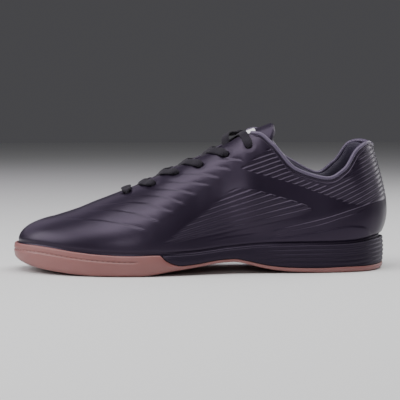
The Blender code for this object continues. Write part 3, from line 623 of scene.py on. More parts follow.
# Black rubber, moulded against a blasted steel mould: dark with a dull, even surface
violet_sheen = {"IOR": 1.48, "Specular Tint": linear("d8c4e8")}
black_rubber = new_material("black_moulded_rubber", "16111b", 0.5, violet_sheen)
rubber_grain = grain(black_rubber, "Noise", "Fac", 900.0, 0.25, 0.0003, {"Detail": 3.0})
rubber_range = {"Value": rubber_grain.outputs["Fac"], "To Min": 0.42, "To Max": 0.62}
rubber_rough = add(black_rubber, "MapRange", rubber_range)
surface(black_rubber, "Roughness", rubber_rough.outputs["Result"])

midsole_start = station_at(MIDSOLE_FRONT)
midsole_q = way_round(700)
midsole_q = midsole_q[(midsole_q > midsole_start) & (midsole_q < 2 * LAST_ROW - midsole_start)]
midsole_q = np.concatenate(((midsole_start,), midsole_q, (2 * LAST_ROW - midsole_start,)))
midsole = sheet("midsole_carrier", midsole_lines(midsole_q), black_rubber)
midsole_bmesh = bmesh.new()
midsole_bmesh.from_mesh(midsole.data)
front_edges = [edge for edge in midsole_bmesh.edges if edge.is_boundary]
bmesh.ops.contextual_create(midsole_bmesh, geom=front_edges)
midsole_bmesh.to_mesh(midsole.data)
midsole_bmesh.free()
declare(midsole, "black_rubber", "midsole")


# Upper: a thin synthetic skin, hot pressed over foam on a last, so its ribs, waves and
# panel edges are one moulding. It is glued into the cup, and punched for the lace.

TOE_HEIGHT = 0.0425
INSTEP_HEIGHT = 0.1065
COLLAR_HEIGHT = 0.0723
HEEL_HEIGHT = 0.0985
MEDIAL_COLLAR_RISE = 0.005
UPPER_WALL = 0.0019
LASTING_MARGIN = 0.010
THROAT_HALF = 0.0115
COLLAR_HALF = 0.0275
MEDIAL_FULLNESS = 0.12
THROAT_ROW = 8
THROAT_FRONT_END = 10.0
THROAT_CROWN = 0.7
FACING_CORNER_ROW = 13
EYELET_RADIUS = 0.0021
HOLE_DEPTH = 0.0030
HOLE_PULL = 0.0004
TUCK_DEPTH = 0.0009
TUCK_WIDTH = 0.0013
UPPER_COLUMNS = 600
UPPER_RISES = 152

# Lace holes: share of the length, and distance from the facing's edge
EYELETS = (
    (0.302, 0.0108),
    (0.370, 0.0088),
    (0.431, 0.0078),
    (0.495, 0.0094),
    (0.562, 0.0104),
    (0.621, 0.0114),
)

# Top edge: share of the length, half opening, toe, instep, collar, heel, medial rise,
# then the wall's base and crown angles and the lengths of its two tangents
TOP = np.array((
    (0.095, 0.00, 1.000, 0.000, 0.000, 0.000, 0.0, 2, 15, 0.34, 0.42),
    (0.098, 0.00, 0.997, 0.003, 0.000, 0.000, 0.0, 2, 15, 0.34, 0.42),
    (0.105, 0.00, 0.990, 0.010, 0.000, 0.000, 0.0, 2, 14, 0.34, 0.42),
    (0.122, 0.00, 0.969, 0.031, 0.000, 0.000, 0.0, 3, 12, 0.34, 0.40),
    (0.150, 0.00, 0.930, 0.070, 0.000, 0.000, 0.0, 4, 9, 0.34, 0.39),
    (0.180, 0.00, 0.881, 0.119, 0.000, 0.000, 0.0, 5, 7, 0.34, 0.38),
    (0.219, 0.00, 0.806, 0.194, 0.000, 0.000, 0.0, 6, 5, 0.34, 0.37),
    (0.255, 0.00, 0.744, 0.256, 0.000, 0.000, 0.0, 7, 3, 0.35, 0.36),
    (0.289, 0.00, 0.682, 0.318, 0.000, 0.000, 0.0, 7, 2, 0.35, 0.36),
    (0.347, 0.57, 0.575, 0.425, 0.000, 0.000, 0.0, 5, 12, 0.36, 0.33),
    (0.418, 0.76, 0.420, 0.580, 0.000, 0.000, 0.0, 2, 18, 0.36, 0.30),
    (0.490, 0.89, 0.280, 0.720, 0.000, 0.000, 0.0, -2, 23, 0.36, 0.28),
    (0.558, 1.00, 0.125, 0.875, 0.000, 0.000, 0.0, -4, 30, 0.35, 0.28),
    (0.616, 0.49, 0.000, 1.000, 0.015, 0.000, 0.0, -2, 38, 0.35, 0.28),
    (0.648, 0.66, 0.000, 0.955, 0.070, 0.000, 0.5, 1, 58, 0.34, 0.28),
    (0.685, 0.82, 0.000, 0.715, 0.305, 0.000, 1.1, 4, 68, 0.34, 0.30),
    (0.745, 0.97, 0.000, 0.200, 0.800, 0.000, 1.2, 8, 73, 0.35, 0.32),
    (0.833, 1.01, 0.000, 0.000, 0.990, 0.000, 0.3, 13, 75, 0.36, 0.34),
    (0.884, 0.92, 0.000, 0.000, 0.757, 0.243, 0.8, 20, 76, 0.36, 0.34),
    (0.923, 0.74, 0.000, 0.000, 0.160, 0.840, 0.7, 28, 76, 0.34, 0.34),
    (0.955, 0.41, 0.000, 0.000, 0.000, 1.007, 0.1, 34, 76, 0.33, 0.34),
    (0.974, 0.00, 0.000, 0.000, 0.000, 0.985, 0.0, 36, 75, 0.33, 0.34),
))
# The middle line's shift to the medial side: share of the length, share of the ball's width
SPINE_SHIFT = np.array((
    (0.0, 0.058), (0.25, 0.025), (0.42, -0.010), (0.60, -0.010), (0.80, 0.0), (1.0, 0.0),
))


def smooth_opening(row):
    scale = np.where(np.arange(len(TOP)) < FACING_CORNER_ROW, THROAT_HALF, COLLAR_HALF)
    return curve(np.arange(len(TOP)), TOP[:, 1] * scale, row)


def opening(row):
    """Half the throat's or collar's width, with the throat's front end round."""
    first = smooth_opening(np.array(THROAT_ROW + 1.0))
    start = first * np.sqrt(np.clip(row - THROAT_ROW, 0, 1))
    return np.where(row < THROAT_ROW + 1, start, smooth_opening(row))


def top_edge(q):
    """The upper's top edge: the vamp's ridge, the facings, the collar and the heel."""
    side, row = fold(q)
    sizes = (TOE_HEIGHT, INSTEP_HEIGHT, COLLAR_HEIGHT, HEEL_HEIGHT)
    height = sum(size * row_column(TOP, 2 + i, row) for i, size in enumerate(sizes))
    height = height + np.where(side > 0, MEDIAL_COLLAR_RISE * row_column(TOP, 6, row), 0)
    along = row_column(TOP, 0, row)
    y = SOLE_MIDDLE[1] + BALL_WIDTH * column(SPINE_SHIFT, 1, along) + side * opening(row)
    return np.stack((x_of(along), y, height), -1)


def walls(q, row, side, top):
    """The four control points of the wall's curve at each place, from foot to top."""
    foot = inset(q, CUP_WALL + CLEARANCE)
    foot = at_height(foot, rim_height(outline(q)[0][..., 0]))
    inwards = at_height(top - foot, 0)
    inwards = inwards / np.linalg.norm(inwards, axis=-1, keepdims=True)
    base, crown, low, high = (row_column(TOP, i, row)[..., None] for i in (7, 8, 9, 10))
    base, crown = np.radians(base), np.radians(crown)
    fuller = np.where(side > 0, 1 + MEDIAL_FULLNESS * np.sin(math.pi * row / LAST_ROW), 1)
    high = high * fuller[..., None]
    chord = np.linalg.norm(top - foot, axis=-1, keepdims=True)
    up = np.array((0, 0, 1.0))
    near_foot = foot + chord * low * (up * np.cos(base) - inwards * np.sin(base))
    near_top = top - chord * high * (inwards * np.cos(crown) + up * np.sin(crown))
    return foot, near_foot, near_top, top


def along_wall(controls, v):
    foot, near_foot, near_top, top = controls
    v = v[..., None]
    w = 1 - v
    return w**3 * foot + 3 * w * w * v * near_foot + 3 * w * v * v * near_top + v**3 * top


def last(q, v):
    """The upper's smooth outer surface: v is 0 at the cup's rim and 1 at the top edge."""
    q, v = np.broadcast_arrays(np.asarray(q, float), np.asarray(v, float))
    side, row = fold(q)
    top = top_edge(q)
    place = along_wall(walls(q, row, side, top), v)
    near_front = (row > THROAT_ROW) & (row < THROAT_FRONT_END)
    if not near_front.any():
        return place
    # Round the throat's front the surface is the closed vamp's, cut at the opening
    q, v, side, row = q[near_front], v[near_front], side[near_front], row[near_front]
    top = top[near_front]
    half = opening(row)
    crown = np.radians(row_column(TOP, 8, row))
    ridge = np.array(top)
    ridge[:, 1] -= side * half
    ridge[:, 2] += THROAT_CROWN * smooth_opening(row) * np.tan(crown)
    controls = walls(q, row, side, ridge)
    cut = np.zeros_like(half)
    for _ in range(5):
        reach = np.linalg.norm((along_wall(controls, 1 - cut) - ridge)[:, :2], axis=1)
        slope = 3 * np.linalg.norm((controls[3] - controls[2])[:, :2], axis=1)
        cut = np.clip(cut + (half - reach) / slope, 0, 0.9)
    closed = along_wall(controls, v * (1 - cut))
    share = eased(row, THROAT_ROW, THROAT_FRONT_END)[:, None]
    place[near_front] = place[near_front] * share + closed * (1 - share)
    return place


def unit(vectors):
    return vectors / np.maximum(np.linalg.norm(vectors, axis=-1, keepdims=True), 1e-12)


def one_normal(q, v):
    step = 0.02
    across = last(q + step, v) - last(q - step, v)
    upwards = last(q, np.minimum(v + step, 1)) - last(q, np.maximum(v - step, 0))
    return unit(np.cross(across, upwards))


def outwards(q, v):
    """The surface's normal, made one for both sides where they meet along the vamp."""
    q, v = np.broadcast_arrays(np.asarray(q, float), np.asarray(v, float))
    row = fold(q)[1]
    share = 0.5 * eased(v, 0.96, 1.0) * (1 - eased(row, THROAT_ROW - 0.2, THROAT_ROW + 0.1))
    share = share[..., None]
    return unit(one_normal(q, v) * (1 - share) + one_normal(2 * LAST_ROW - q, v) * share)


def side_curve(points, x):
    """Height in millimetres of a line drawn on the side view, by its points there."""
    points = np.array(points, float)
    return curve(points[:, 0], points[:, 1], x)


# Waves of the vamp, seen from the side in millimetres: soft steps that run back from the
# toe and stop at the edge of the quarter
WAVES = (
    ((-112, 42), (-96, 42.6), (-83, 42.4), (-70, 41), (-60, 39), (-47, 35.5)),
    ((-102, 46.5), (-88, 48.6), (-72, 49.6), (-57, 48), (-46, 45), (-37, 41.5)),
    ((-89, 51.5), (-72, 54), (-58, 55.5), (-47, 55), (-38, 52.5), (-25, 48.5)),
    ((-60, 59.6), (-48, 60.6), (-35, 60), (-26, 58), (-16, 54.5)),
    ((-57, 64.5), (-46, 65.4), (-32, 65.3), (-20, 64.6), (-7, 61.5)),
    ((-40, 70.2), (-30, 71), (-18, 70.6), (-7, 70), (4, 68.5)),
    ((-22, 76.5), (-12, 77), (0, 76.6), (12, 74)),
    ((0, 82.6), (8, 82.4), (20, 80.6)),
    ((6, 88.4), (18, 88.6), (30, 87.8)),
)
WAVE_RISE = 0.24
WAVE_DROP = 0.62
WAVE_HOOK = 1.2
VAMP_EDGE = (
    (-50, 32), (-47, 35.5), (-37, 41.5), (-25, 48.5), (-16, 54.5),
    (-7, 61.5), (4, 68.5), (13, 74), (23, 81), (34, 90),
)
QUARTER_SUNK = 0.10


def bump(at, centre, reach):
    """A smooth bell: 1 at the centre and near 0 from twice the reach."""
    return np.exp(-(((at - centre) / reach) ** 2))


def ledge(away, rise, drop, below, above, edge=0.4):
    """A scale's top edge: proud just below it, sunk just above it, level again further off."""
    over = eased(away, -edge, edge)
    proud = rise * np.exp(np.minimum(away, 0) / below)
    sunk = drop * np.exp(-np.maximum(away, 0) / above)
    return (1 - over) * proud - over * sunk


def waves(x, z):
    """Each wave grows from its front, bends down a little at its end and stops there."""
    height = np.zeros_like(x)
    for points in WAVES:
        start, end = points[0][0], points[-1][0]
        away = z - side_curve(points, x) + WAVE_HOOK * eased(x, end - 5.0, end) ** 2
        grown = eased(x, start - 3, start + 12) * (0.45 + 0.55 * eased(x, start + 8, end - 6))
        grown = grown * eased(x, end + 1.0, end - 4.0)
        height += grown * ledge(away, WAVE_RISE, WAVE_DROP, 5.5, 1.9, 0.28)
    return height


# Ribs of the collar field: moulded steps that rise to the heel, each proud along its top
COLLAR_FIELD_FOOT = (
    (24, 84), (34, 79.5), (50, 75), (70, 69), (90, 61.8),
    (105, 56.6), (117, 52.8), (126, 52.6), (136, 55), (150, 59.5),
)
COLLAR_FIELD_START = 40
COLLAR_RIB_PITCH = 3.72
COLLAR_RIB_SLOPE = 0.32
COLLAR_RIB_BEND = 0.00094
COLLAR_RIB_HEIGHT = 1.10
COLLAR_FIELD_DEPTH = 0.80


def steps(count, edge=0.15):
    """A moulded step for each whole number: deepest at its foot, proud at its top edge."""
    phase = np.mod(count, 1)
    height = 1 - (1 - phase) ** 1.6
    return height * (1 - eased(phase, 1 - 2 * edge, 1.0))


def collar_field(x, z, collar_drop):
    """How much of the ribbed collar field is at a place, and its ribs' height there."""
    above = z - side_curve(COLLAR_FIELD_FOOT, x)
    left = (x - 31) * 0.54 - (z - 83) * 0.84 + 1.0
    inside = eased(above, 0.0, 0.9) * eased(collar_drop, 2.0, 3.2)
    inside = inside * np.where(x < 60, eased(left, -0.4, 1.0), 1) * (1 - 0.45 * eased(x, 130, 145))
    back = x - COLLAR_FIELD_START
    lifted = z - COLLAR_RIB_SLOPE * back - COLLAR_RIB_BEND * np.clip(back, 0, None) ** 2
    # Near the topline the ribs' edges are wider and softer
    edge = 0.15 + 0.11 * eased(collar_drop, 15, 4)
    height = 1 - (1 - steps(lifted / COLLAR_RIB_PITCH, edge)) * eased(collar_drop, 1.0, 5.0)
    return inside, height


# Ribs of the quarter field: finer ribs that fan out from the ball of the foot
QUARTER_TOP = (
    (-36, 24), (-28, 29), (-17, 38), (-4, 46.5), (8, 55.5), (17, 63), (26, 66.5),
    (36, 65.4), (50, 62), (66, 57.4), (78, 53.4), (85, 49.5), (92, 45),
)
QUARTER_FOOT = (
    (-36, 23), (-26, 25.3), (-13, 27.2), (3, 29.6), (18, 31.2),
    (34, 32.6), (50, 36.5), (66, 41), (80, 45.5), (92, 49),
)
FAN_CENTRE = (-168, -5.3)
FAN_PITCH = 0.0205
QUARTER_RIB_HEIGHT = 0.8
FINE_RIB_HEIGHT = 0.36
QUARTER_DEPTH = (0.45, 0.15)


def quarter_field(x, z):
    """How much of the quarter field is at a place, and its ribs' height there. Behind the
    ball of the foot a finer rib lies between each two."""
    below = side_curve(QUARTER_TOP, x) - z
    above = z - side_curve(QUARTER_FOOT, x)
    soft = 1.0 + 7 * eased(x, 8, 42)
    inside = eased(below, 0.0, 0.9) * eased(above, 0.0, soft) * eased(x, 87, 80)
    inside = inside * eased(x, -34, -28)
    fan = (z - FAN_CENTRE[1]) / (x - FAN_CENTRE[0]) / FAN_PITCH
    fine = FINE_RIB_HEIGHT * steps(2 * fan, 0.14) * eased(x, 20, 45)
    return inside, QUARTER_RIB_HEIGHT * steps(fan) * (1 + 0.35 * eased(x, 25, 55)) + fine


# Scales of the heel: two that rise to the back and a low one by the arch, each with its
# line, where it starts, where it ends, and its rise
HEEL_SCALES = (
    (
        ((46, 31), (60, 35), (74, 38), (95, 43), (115, 49), (132, 54), (150, 58)),
        (50, 62), (138, 150), 0.40,
    ),
    (
        ((46, 27), (58, 30.5), (67, 33), (87, 37), (107, 43), (119, 46.5), (130, 51)),
        (50, 60), (112, 130), 0.34,
    ),
    (((-4, 25), (10, 27.5), (26, 29.8), (45, 32)), (-2, 14), (34, 44), 0.16),
)
COUNTER_EDGE = (
    (44, 27), (56, 27.5), (67, 28.5), (83, 31), (99, 34),
    (115, 36), (124, 35), (129, 32), (134, 24), (150, 14),
)
COUNTER_RISE = 0.45

# The wall's fullest place, below the last lace hole, and the topline's seam
BELLY_RISE = 2.0
BELLY_MIDDLE = 36
BELLY_REACH = 17
SEAM_PULL = 0.6
SEAM_DROP = 1.2
SEAM_REACH = 0.6


def relief(points, collar_drop):
    """Height of the moulded pattern over the smooth surface, in metres."""
    x, z = 1000 * points[..., 0], 1000 * points[..., 2]
    height = waves(x, z)
    # The quarter is sunk behind the vamp's edge and comes back to level over 20 mm
    edge_x = curve([p[1] for p in VAMP_EDGE], [p[0] for p in VAMP_EDGE], z)
    behind = x - edge_x
    sunk = eased(behind, -3.0, 5.0) * (1 - eased(behind, 6, 30))
    height -= QUARTER_SUNK * sunk * eased(z, 30, 48) * (1 - eased(z, 76, 90))
    inside, ribs = collar_field(x, z, collar_drop)
    height += inside * (COLLAR_RIB_HEIGHT * ribs - COLLAR_FIELD_DEPTH)
    inside, ribs = quarter_field(x, z)
    front_depth, rear_depth = QUARTER_DEPTH
    height += inside * (ribs - front_depth + (front_depth - rear_depth) * eased(x, 15, 50))
    for line, start, end, rise in HEEL_SCALES:
        strength = eased(x, *start) * (1 - eased(x, *end))
        height += strength * ledge(z - side_curve(line, x), rise, rise, 3.0, 2.0)
    counter = side_curve(COUNTER_EDGE, x) - z
    height += COUNTER_RISE * eased(counter, -0.5, 0.5) * eased(x, 46, 60)
    belly = bump(x, BELLY_MIDDLE, BELLY_REACH) * (1 - eased(z, 57, 86)) * eased(z, 28, 45)
    height += BELLY_RISE * belly
    # The topline's seam pulls the skin in under the binding
    height -= SEAM_PULL * bump(collar_drop, SEAM_DROP, SEAM_REACH) * eased(x, 36, 44)
    return height / 1000


def eyelet_spot(side, along, setback):
    """The way-round place and v of a lace hole, set back from the facing's edge."""
    rows = np.linspace(THROAT_ROW, FACING_CORNER_ROW + 1, 601)
    row = float(np.interp(along, row_column(TOP, 0, rows), rows))
    q = row if side < 0 else 2 * LAST_ROW - row
    rises = np.linspace(1, 0, 1001)
    gap = float(opening(np.array(row)) * eased(row, THROAT_ROW + 1, THROAT_ROW))
    return q, float(np.interp(setback - gap, walked(last(q, rises)), rises))


# Pressed synthetic: polyurethane skin over foam, near black with a violet cast, a satin
# gloss and a fine leather-like grain
polish = {"IOR": 1.5, "Specular Tint": linear("dcc6ea")}
coat = {"Coat Weight": 0.08, "Coat Roughness": 0.28}
skin = new_material("pressed_synthetic", "19131e", 0.38, {**polish, **coat})
skin_cloud = clouds(skin, 26.0, 2.0, "16101b", "1d1624")
skin_range = {"Value": skin_cloud.outputs["Fac"], "To Min": 0.31, "To Max": 0.43}
surface(skin, "Roughness", add(skin, "MapRange", skin_range).outputs["Result"])
grain(skin, "Voronoi", "Distance", 1500.0, 0.10, 0.0002)

HOLES = {side: [eyelet_spot(side, *hole) for hole in EYELETS] for side in (-1, 1)}
HOLE_CENTRES = [last(*spot) for side in (-1, 1) for spot in HOLES[side]]


def holes(points):
    """How far the skin goes in at the lace holes, where it is also pulled in a little."""
    depth = np.zeros(points.shape[:-1])
    for centre in HOLE_CENTRES:
        away = np.linalg.norm(points - centre, axis=-1)
        punched = HOLE_DEPTH * eased(away, 1.15 * EYELET_RADIUS, 0.7 * EYELET_RADIUS)
        pulled = HOLE_PULL * eased(away, 3.2 * EYELET_RADIUS, EYELET_RADIUS)
        depth = np.maximum(depth, punched + pulled)
    return depth


def upper_lines(q):
    """Lines round the upper: feather edge, wall, and the edge rolled over to the inside."""
    edge, _ = outline(q)
    feather = CUP_WALL + CUP_DRAFT + CLEARANCE
    turn = 0.35 * (rim_height(edge[:, 0]) - cup_floor(edge[:, 0]))
    lines = []
    for depth, rise in ((LASTING_MARGIN, 0.0), (0.0016, 0.0), (0.0003, 0.35), (0.0, 1.0)):
        place = inset(q, feather + depth)
        lines.append(at_height(place, cup_floor(place[:, 0]) + CLEARANCE + rise * turn))
    top = top_edge(q)
    behind_cup = eased(along_of(edge[:, 0]), *RAMP)
    opened = eased(opening(fold(q)[1]), 0.0, 0.002)[:, None]
    for v in np.linspace(0, 1, UPPER_RISES):
        smooth = last(q, v)
        drop = 1000 * np.linalg.norm(top - smooth, axis=1)
        drop = np.where(opened[:, 0] > 0.5, drop, 30)
        calm = eased(v, 0.0, 0.04) * (1 - opened[:, 0] * eased(v, 0.985, 1.0))
        raised = relief(smooth, drop) * calm - holes(smooth)
        above_rim = (smooth[:, 2] - rim_height(edge[:, 0])) / TUCK_WIDTH
        # Just above the cup the skin tucks in, most behind the cup
        tuck = TUCK_DEPTH * (0.5 + 0.5 * behind_cup) * bump(above_rim, 1.1, 1)
        raised = raised - tuck * eased(v, 0.0, 0.01)
        lines.append(smooth + outwards(q, v) * raised[:, None])
    outer = lines[-1]
    normal = outwards(q, 1.0)
    rise = unit(last(q, 1.0) - last(q, 0.98))
    for turn in np.radians((30, 60, 90, 120, 150, 180)):
        swing = (math.cos(turn) - 1) * normal + 0.6 * math.sin(turn) * rise
        lines.append(outer + 0.5 * UPPER_WALL * swing * opened)
    for v in (0.97, 0.93, 0.86):
        inner = last(q, v) - UPPER_WALL * outwards(q, v)
        lines.append(inner * opened + top * (1 - opened))
    return np.array(lines)


def rib_density(row):
    """The collar's ribs cross the falling topline steeply, so they need more columns."""
    along = row_column(TOP, 0, row)
    ribbed = eased(along, 0.56, 0.62) * (1 - eased(along, 0.80, 0.87))
    return 0.75 + 1.6 * ribbed + 0.35 * eased(along, 0.30, 0.45)


upper_q = way_round(UPPER_COLUMNS, rib_density)
upper_skin = sheet("upper_skin", upper_lines(upper_q), skin, turn=True)
declare(upper_skin, "black_synthetic", "upper")


# Lining: a thin black knit. It is laminated to the inside of the upper before that is
# lasted, so it follows the wall from the feather edge to the topline.

LINING_DEPTH = 0.0018

knit = new_material("lining_knit", "19171d", 0.8, {"Sheen Weight": 0.25, "Sheen Roughness": 0.5})
grain(knit, "Voronoi", "Distance", 700.0, 0.5, 0.0003)


def lining_lines(q):
    """Lines round the lining, from the feather edge to just below the top edge."""
    feather = CUP_WALL + CUP_DRAFT + CLEARANCE + LINING_DEPTH
    place = inset(q, feather + 0.008)
    lines = [at_height(place, cup_floor(place[:, 0]) + CLEARANCE + LINING_DEPTH)]
    for v in np.linspace(0.03, 0.98, 26):
        lines.append(last(q, v) - LINING_DEPTH * outwards(q, v))
    return np.array(lines)


declare(sheet("upper_lining", lining_lines(way_round(360)), knit, turn=True), "black_lining")


# Insole: a loose footbed of moulded foam under black knit, with a round edge. It lies on
# the lasting margin, just inside the lining.

INSOLE_THICKNESS = 0.0038
INSOLE_ROUND = 0.0016
INSOLE_GAP = 0.0006


def insole_lines(q):
    """Lines round the footbed, from the middle of its top over the round edge to below."""
    _, middle = outline(q)
    wall = CUP_WALL + CUP_DRAFT + 2 * CLEARANCE + UPPER_WALL + INSOLE_GAP
    low = UPPER_WALL + 2.5 * CLEARANCE
    high = low + INSOLE_THICKNESS
    shoulder = inset(q, wall + INSOLE_ROUND)
    reach = np.linalg.norm(middle - shoulder, axis=1)
    rounds = [(share * reach + INSOLE_ROUND, high) for share in np.linspace(1, 0, 12)]
    for turn in np.radians((30, 60, 90)):
        drop = INSOLE_ROUND * (1 - math.cos(turn))
        rounds.append((INSOLE_ROUND * (1 - math.sin(turn)), high - drop))
    rounds.append((0, low))
    places = [(inset(q, wall + depth), rise) for depth, rise in rounds] + [(middle, low)]
    return np.array([at_height(place, cup_floor(place[:, 0]) + rise) for place, rise in places])


insole = sheet("insole_footbed", insole_lines(way_round(240)), knit)
declare(insole, "black_lining", "insole")


# Tongue: foam between two skins of the same synthetic, stitched along its edge. It starts
# under the vamp, lies under both facings and ends in a thin rounded tip.

TONGUE_THICKNESS = 0.0032
TONGUE_PAD = 0.0065
TONGUE_OVERLAP = 0.011
TONGUE_RISE = 0.024
TONGUE_ROOT_ROW = 8.25
TONGUE_ROOT = 0.009
TONGUE_ROOT_SLOPE = 0.36
TONGUE_SLOPE = 0.38
TONGUE_DROOP = 0.20
TONGUE_ROUND = 0.22
THROAT_ARCH = 0.26


def throat(row, s, lift):
    """A point above the upper and its throat: s is -1 and 1 at the two facings' edges.
    Between the edges the surface arches over; past them s goes down the outside."""
    row, s, lift = np.broadcast_arrays(row, s, lift)
    q = np.where(s > 0, 2 * LAST_ROW - row, row)
    v = np.where(np.abs(s) >= 1, 2 - np.abs(s), 1.0)
    outside = last(q, v) + lift[..., None] * outwards(q, v)
    lateral, medial = last(row, 1.0), last(2 * LAST_ROW - row, 1.0)
    slopes = [unit(last(side, 1.0) - last(side, 0.985)) for side in (row, 2 * LAST_ROW - row)]
    reach = THROAT_ARCH * np.linalg.norm(medial - lateral, axis=-1, keepdims=True)
    controls = (lateral, lateral + reach * slopes[0], medial + reach * slopes[1], medial)
    t = 0.5 * (np.clip(s, -1, 1) + 1)[..., None]
    w = 1 - t
    shares = (w**3, 3 * w * w * t, 3 * w * t * t, t**3)
    tangents = (-3 * w * w, 3 * w * w - 6 * w * t, 6 * w * t - 3 * t * t, 3 * t * t)
    place = sum(share * point for share, point in zip(shares, controls))
    across = sum(share * point for share, point in zip(tangents, controls))
    ahead = last(row + 0.05, 1.0) + last(2 * LAST_ROW - row - 0.05, 1.0)
    ahead = ahead - last(row - 0.05, 1.0) - last(2 * LAST_ROW - row + 0.05, 1.0)
    inside = place + lift[..., None] * unit(np.cross(ahead, across))
    return np.where(np.abs(s)[..., None] >= 1, outside, inside)


def walk_down(q, distance):
    """The v reached after walking down from the facing's edge, for each place of q."""
    rises = np.linspace(1, 0, 401)
    walks = last(q[:, None], rises[None, :])
    return np.array([np.interp(distance, walked(walk), rises) for walk in walks])


def tongue_place(at, s, depth):
    """A point of the tongue for each at (rows of the grid) and s (columns)."""
    row = np.clip(at, TONGUE_ROOT_ROW, FACING_CORNER_ROW)
    laps = [1 - walk_down(q, TONGUE_OVERLAP) for q in (row, 2 * LAST_ROW - row)]
    share = (opening(row) / (opening(row) + TONGUE_OVERLAP))[:, None]
    lap = np.where(s[None, :] > 0, laps[1][:, None], laps[0][:, None])
    away = np.abs(s)[None, :]
    reach = np.where(away <= share, away / share, 1 + lap * (away - share) / (1 - share))
    reach = np.copysign(np.maximum(reach, 1e-6), s[None, :])
    place = throat(row[:, None], reach, -depth)
    past = np.maximum(at - FACING_CORNER_ROW, 0)[:, None]
    run = TONGUE_RISE * past * (1 - TONGUE_ROUND * away**3)
    root = TONGUE_ROOT * np.maximum(TONGUE_ROOT_ROW - at, 0)[:, None]
    slope = TONGUE_SLOPE - TONGUE_DROOP * away**2
    moved = (run - root, np.zeros_like(run), run * slope - root * TONGUE_ROOT_SLOPE)
    return place + np.stack(moved, -1)


def tongue_lines():
    """Rounds of the tongue from its root to its tip, thicker where the foam begins."""
    ats = np.concatenate((
        np.linspace(TONGUE_ROOT_ROW - 1, FACING_CORNER_ROW, 130)[:-1],
        FACING_CORNER_ROW + np.sin(np.linspace(0, 0.5 * math.pi, 60)),
    ))
    around = np.linspace(0, 2 * math.pi, 97)
    s = -np.sign(np.cos(around)) * np.abs(np.cos(around)) ** 0.85
    bulge = np.sign(np.sin(around)) * np.abs(np.sin(around)) ** 0.4
    pad = eased(ats, FACING_CORNER_ROW - 3, FACING_CORNER_ROW - 0.5)
    thick = TONGUE_THICKNESS + (TONGUE_PAD - TONGUE_THICKNESS) * pad
    end = np.minimum(1, np.minimum((ats - ats[0]) / 0.15, (ats[-1] - ats) / 0.12))
    end = np.sqrt(np.clip(1 - (1 - end) ** 2, 0, 1))
    half = 0.5 * thick * end
    depth = UPPER_WALL + 4 * CLEARANCE + 0.5 * thick[:, None] - half[:, None] * bulge[None, :]
    return tongue_place(ats, s, depth)


tongue_skin = new_material("tongue_synthetic", "201a27", 0.45, polish)
grain(tongue_skin, "Voronoi", "Distance", 1100.0, 0.15, 0.0002)

tongue = sheet("padded_tongue", tongue_lines(), tongue_skin)
declare(tongue, "black_synthetic", "tongue")


# Label: a blank woven tape. It is folded, and sewn flat on top of the tongue near the
# tongue's end.

LABEL_START = -0.11
LABEL_LENGTH = 0.0115
LABEL_WIDTH = 0.020
LABEL_THICKNESS = 0.0008

tape = new_material("woven_label_tape", "f1eff2", 0.55, {"Sheen Weight": 0.3})
grain(tape, "Wave", "Fac", 700.0, 0.3, 0.0002, space="UV", bands_direction="Y")


def label_lines():
    """Rounds of the folded tape, laid on the tongue."""
    half = LABEL_WIDTH / (2 * (opening(np.array(FACING_CORNER_ROW)) + TONGUE_OVERLAP))
    around = np.linspace(0, 2 * math.pi, 41)
    across = -np.sign(np.cos(around)) * np.abs(np.cos(around)) ** 0.7
    up = np.sign(np.sin(around)) * np.abs(np.sin(around)) ** 0.5
    share = np.linspace(-1, 1, 25)
    ats = FACING_CORNER_ROW + LABEL_START + (0.5 + 0.5 * share) * LABEL_LENGTH / TONGUE_RISE
    thick = 0.5 * LABEL_THICKNESS * np.sqrt(np.clip(1 - np.abs(share) ** 12, 0, 1))
    middle = UPPER_WALL + 3 * CLEARANCE - 0.5 * LABEL_THICKNESS
    return tongue_place(ats, half * across, middle - thick[:, None] * up[None, :])


declare(sheet("blank_label", label_lines(), tape), "white_label", "tongue_label")


# Collar: foam under a soft lining, sewn inside the topline as one padded roll that runs
# round the heel from instep to instep

COLLAR_PAD = 0.0055
COLLAR_PAD_EDGE = 0.0015
COLLAR_CREASE = 0.0004
LINING_SWELL = 0.0026
LINING_START = 15.0
LINING_RISES = (0.42, 0.50, 0.60, 0.70, 0.80, 0.88, 0.95, 1.0)
LINING_PUFF = (0.00, 0.10, 0.38, 0.72, 0.95, 1.00, 0.90, 0.62)

nap = {"Sheen Weight": 0.10, "Sheen Tint": linear("c0a4d4")}
soft_lining = new_material("collar_lining_cloth", "221930", 0.6, nap)
grain(soft_lining, "Voronoi", "Distance", 850.0, 0.4, 0.0003)


def collar_lines(q):
    """Lines round the roll: up against the upper's wall and back down over the foam."""
    row = fold(q)[1]
    wall = UPPER_WALL + 1.5 * CLEARANCE
    grown = 0.2 + 0.8 * eased(row, LINING_START, LINING_START + 1.5)
    lines = []
    for v in np.linspace(LINING_RISES[0], LINING_RISES[-1], 12):
        lines.append(last(q, v) - wall * outwards(q, v))
    for v in np.linspace(LINING_RISES[-1], LINING_RISES[0], 44):
        puff = float(curve(LINING_RISES, LINING_PUFF, np.array(v)))
        # Soft creases where the foam turns round the heel
        crease = COLLAR_CREASE * np.sin(2.6 * row) * math.sin(9 * v) * eased(row, 16, 18)
        depth = wall + COLLAR_PAD_EDGE + puff * grown * (COLLAR_PAD + crease)
        place = last(q, v) - depth[:, None] * outwards(q, v)
        # The roll swells up to the binding's height
        lines.append(at_height(place, place[:, 2] + LINING_SWELL * float(eased(v, 0.78, 1.0))))
    lines.append(lines[0])
    return np.array(lines)


def rear_way(start, count):
    """Places on the way round from a station over the heel and back to it."""
    q = way_round(4 * count)
    q = q[(q > start) & (q < 2 * LAST_ROW - start)]
    return np.interp(np.linspace(0, 1, count), np.linspace(0, 1, len(q)), q)


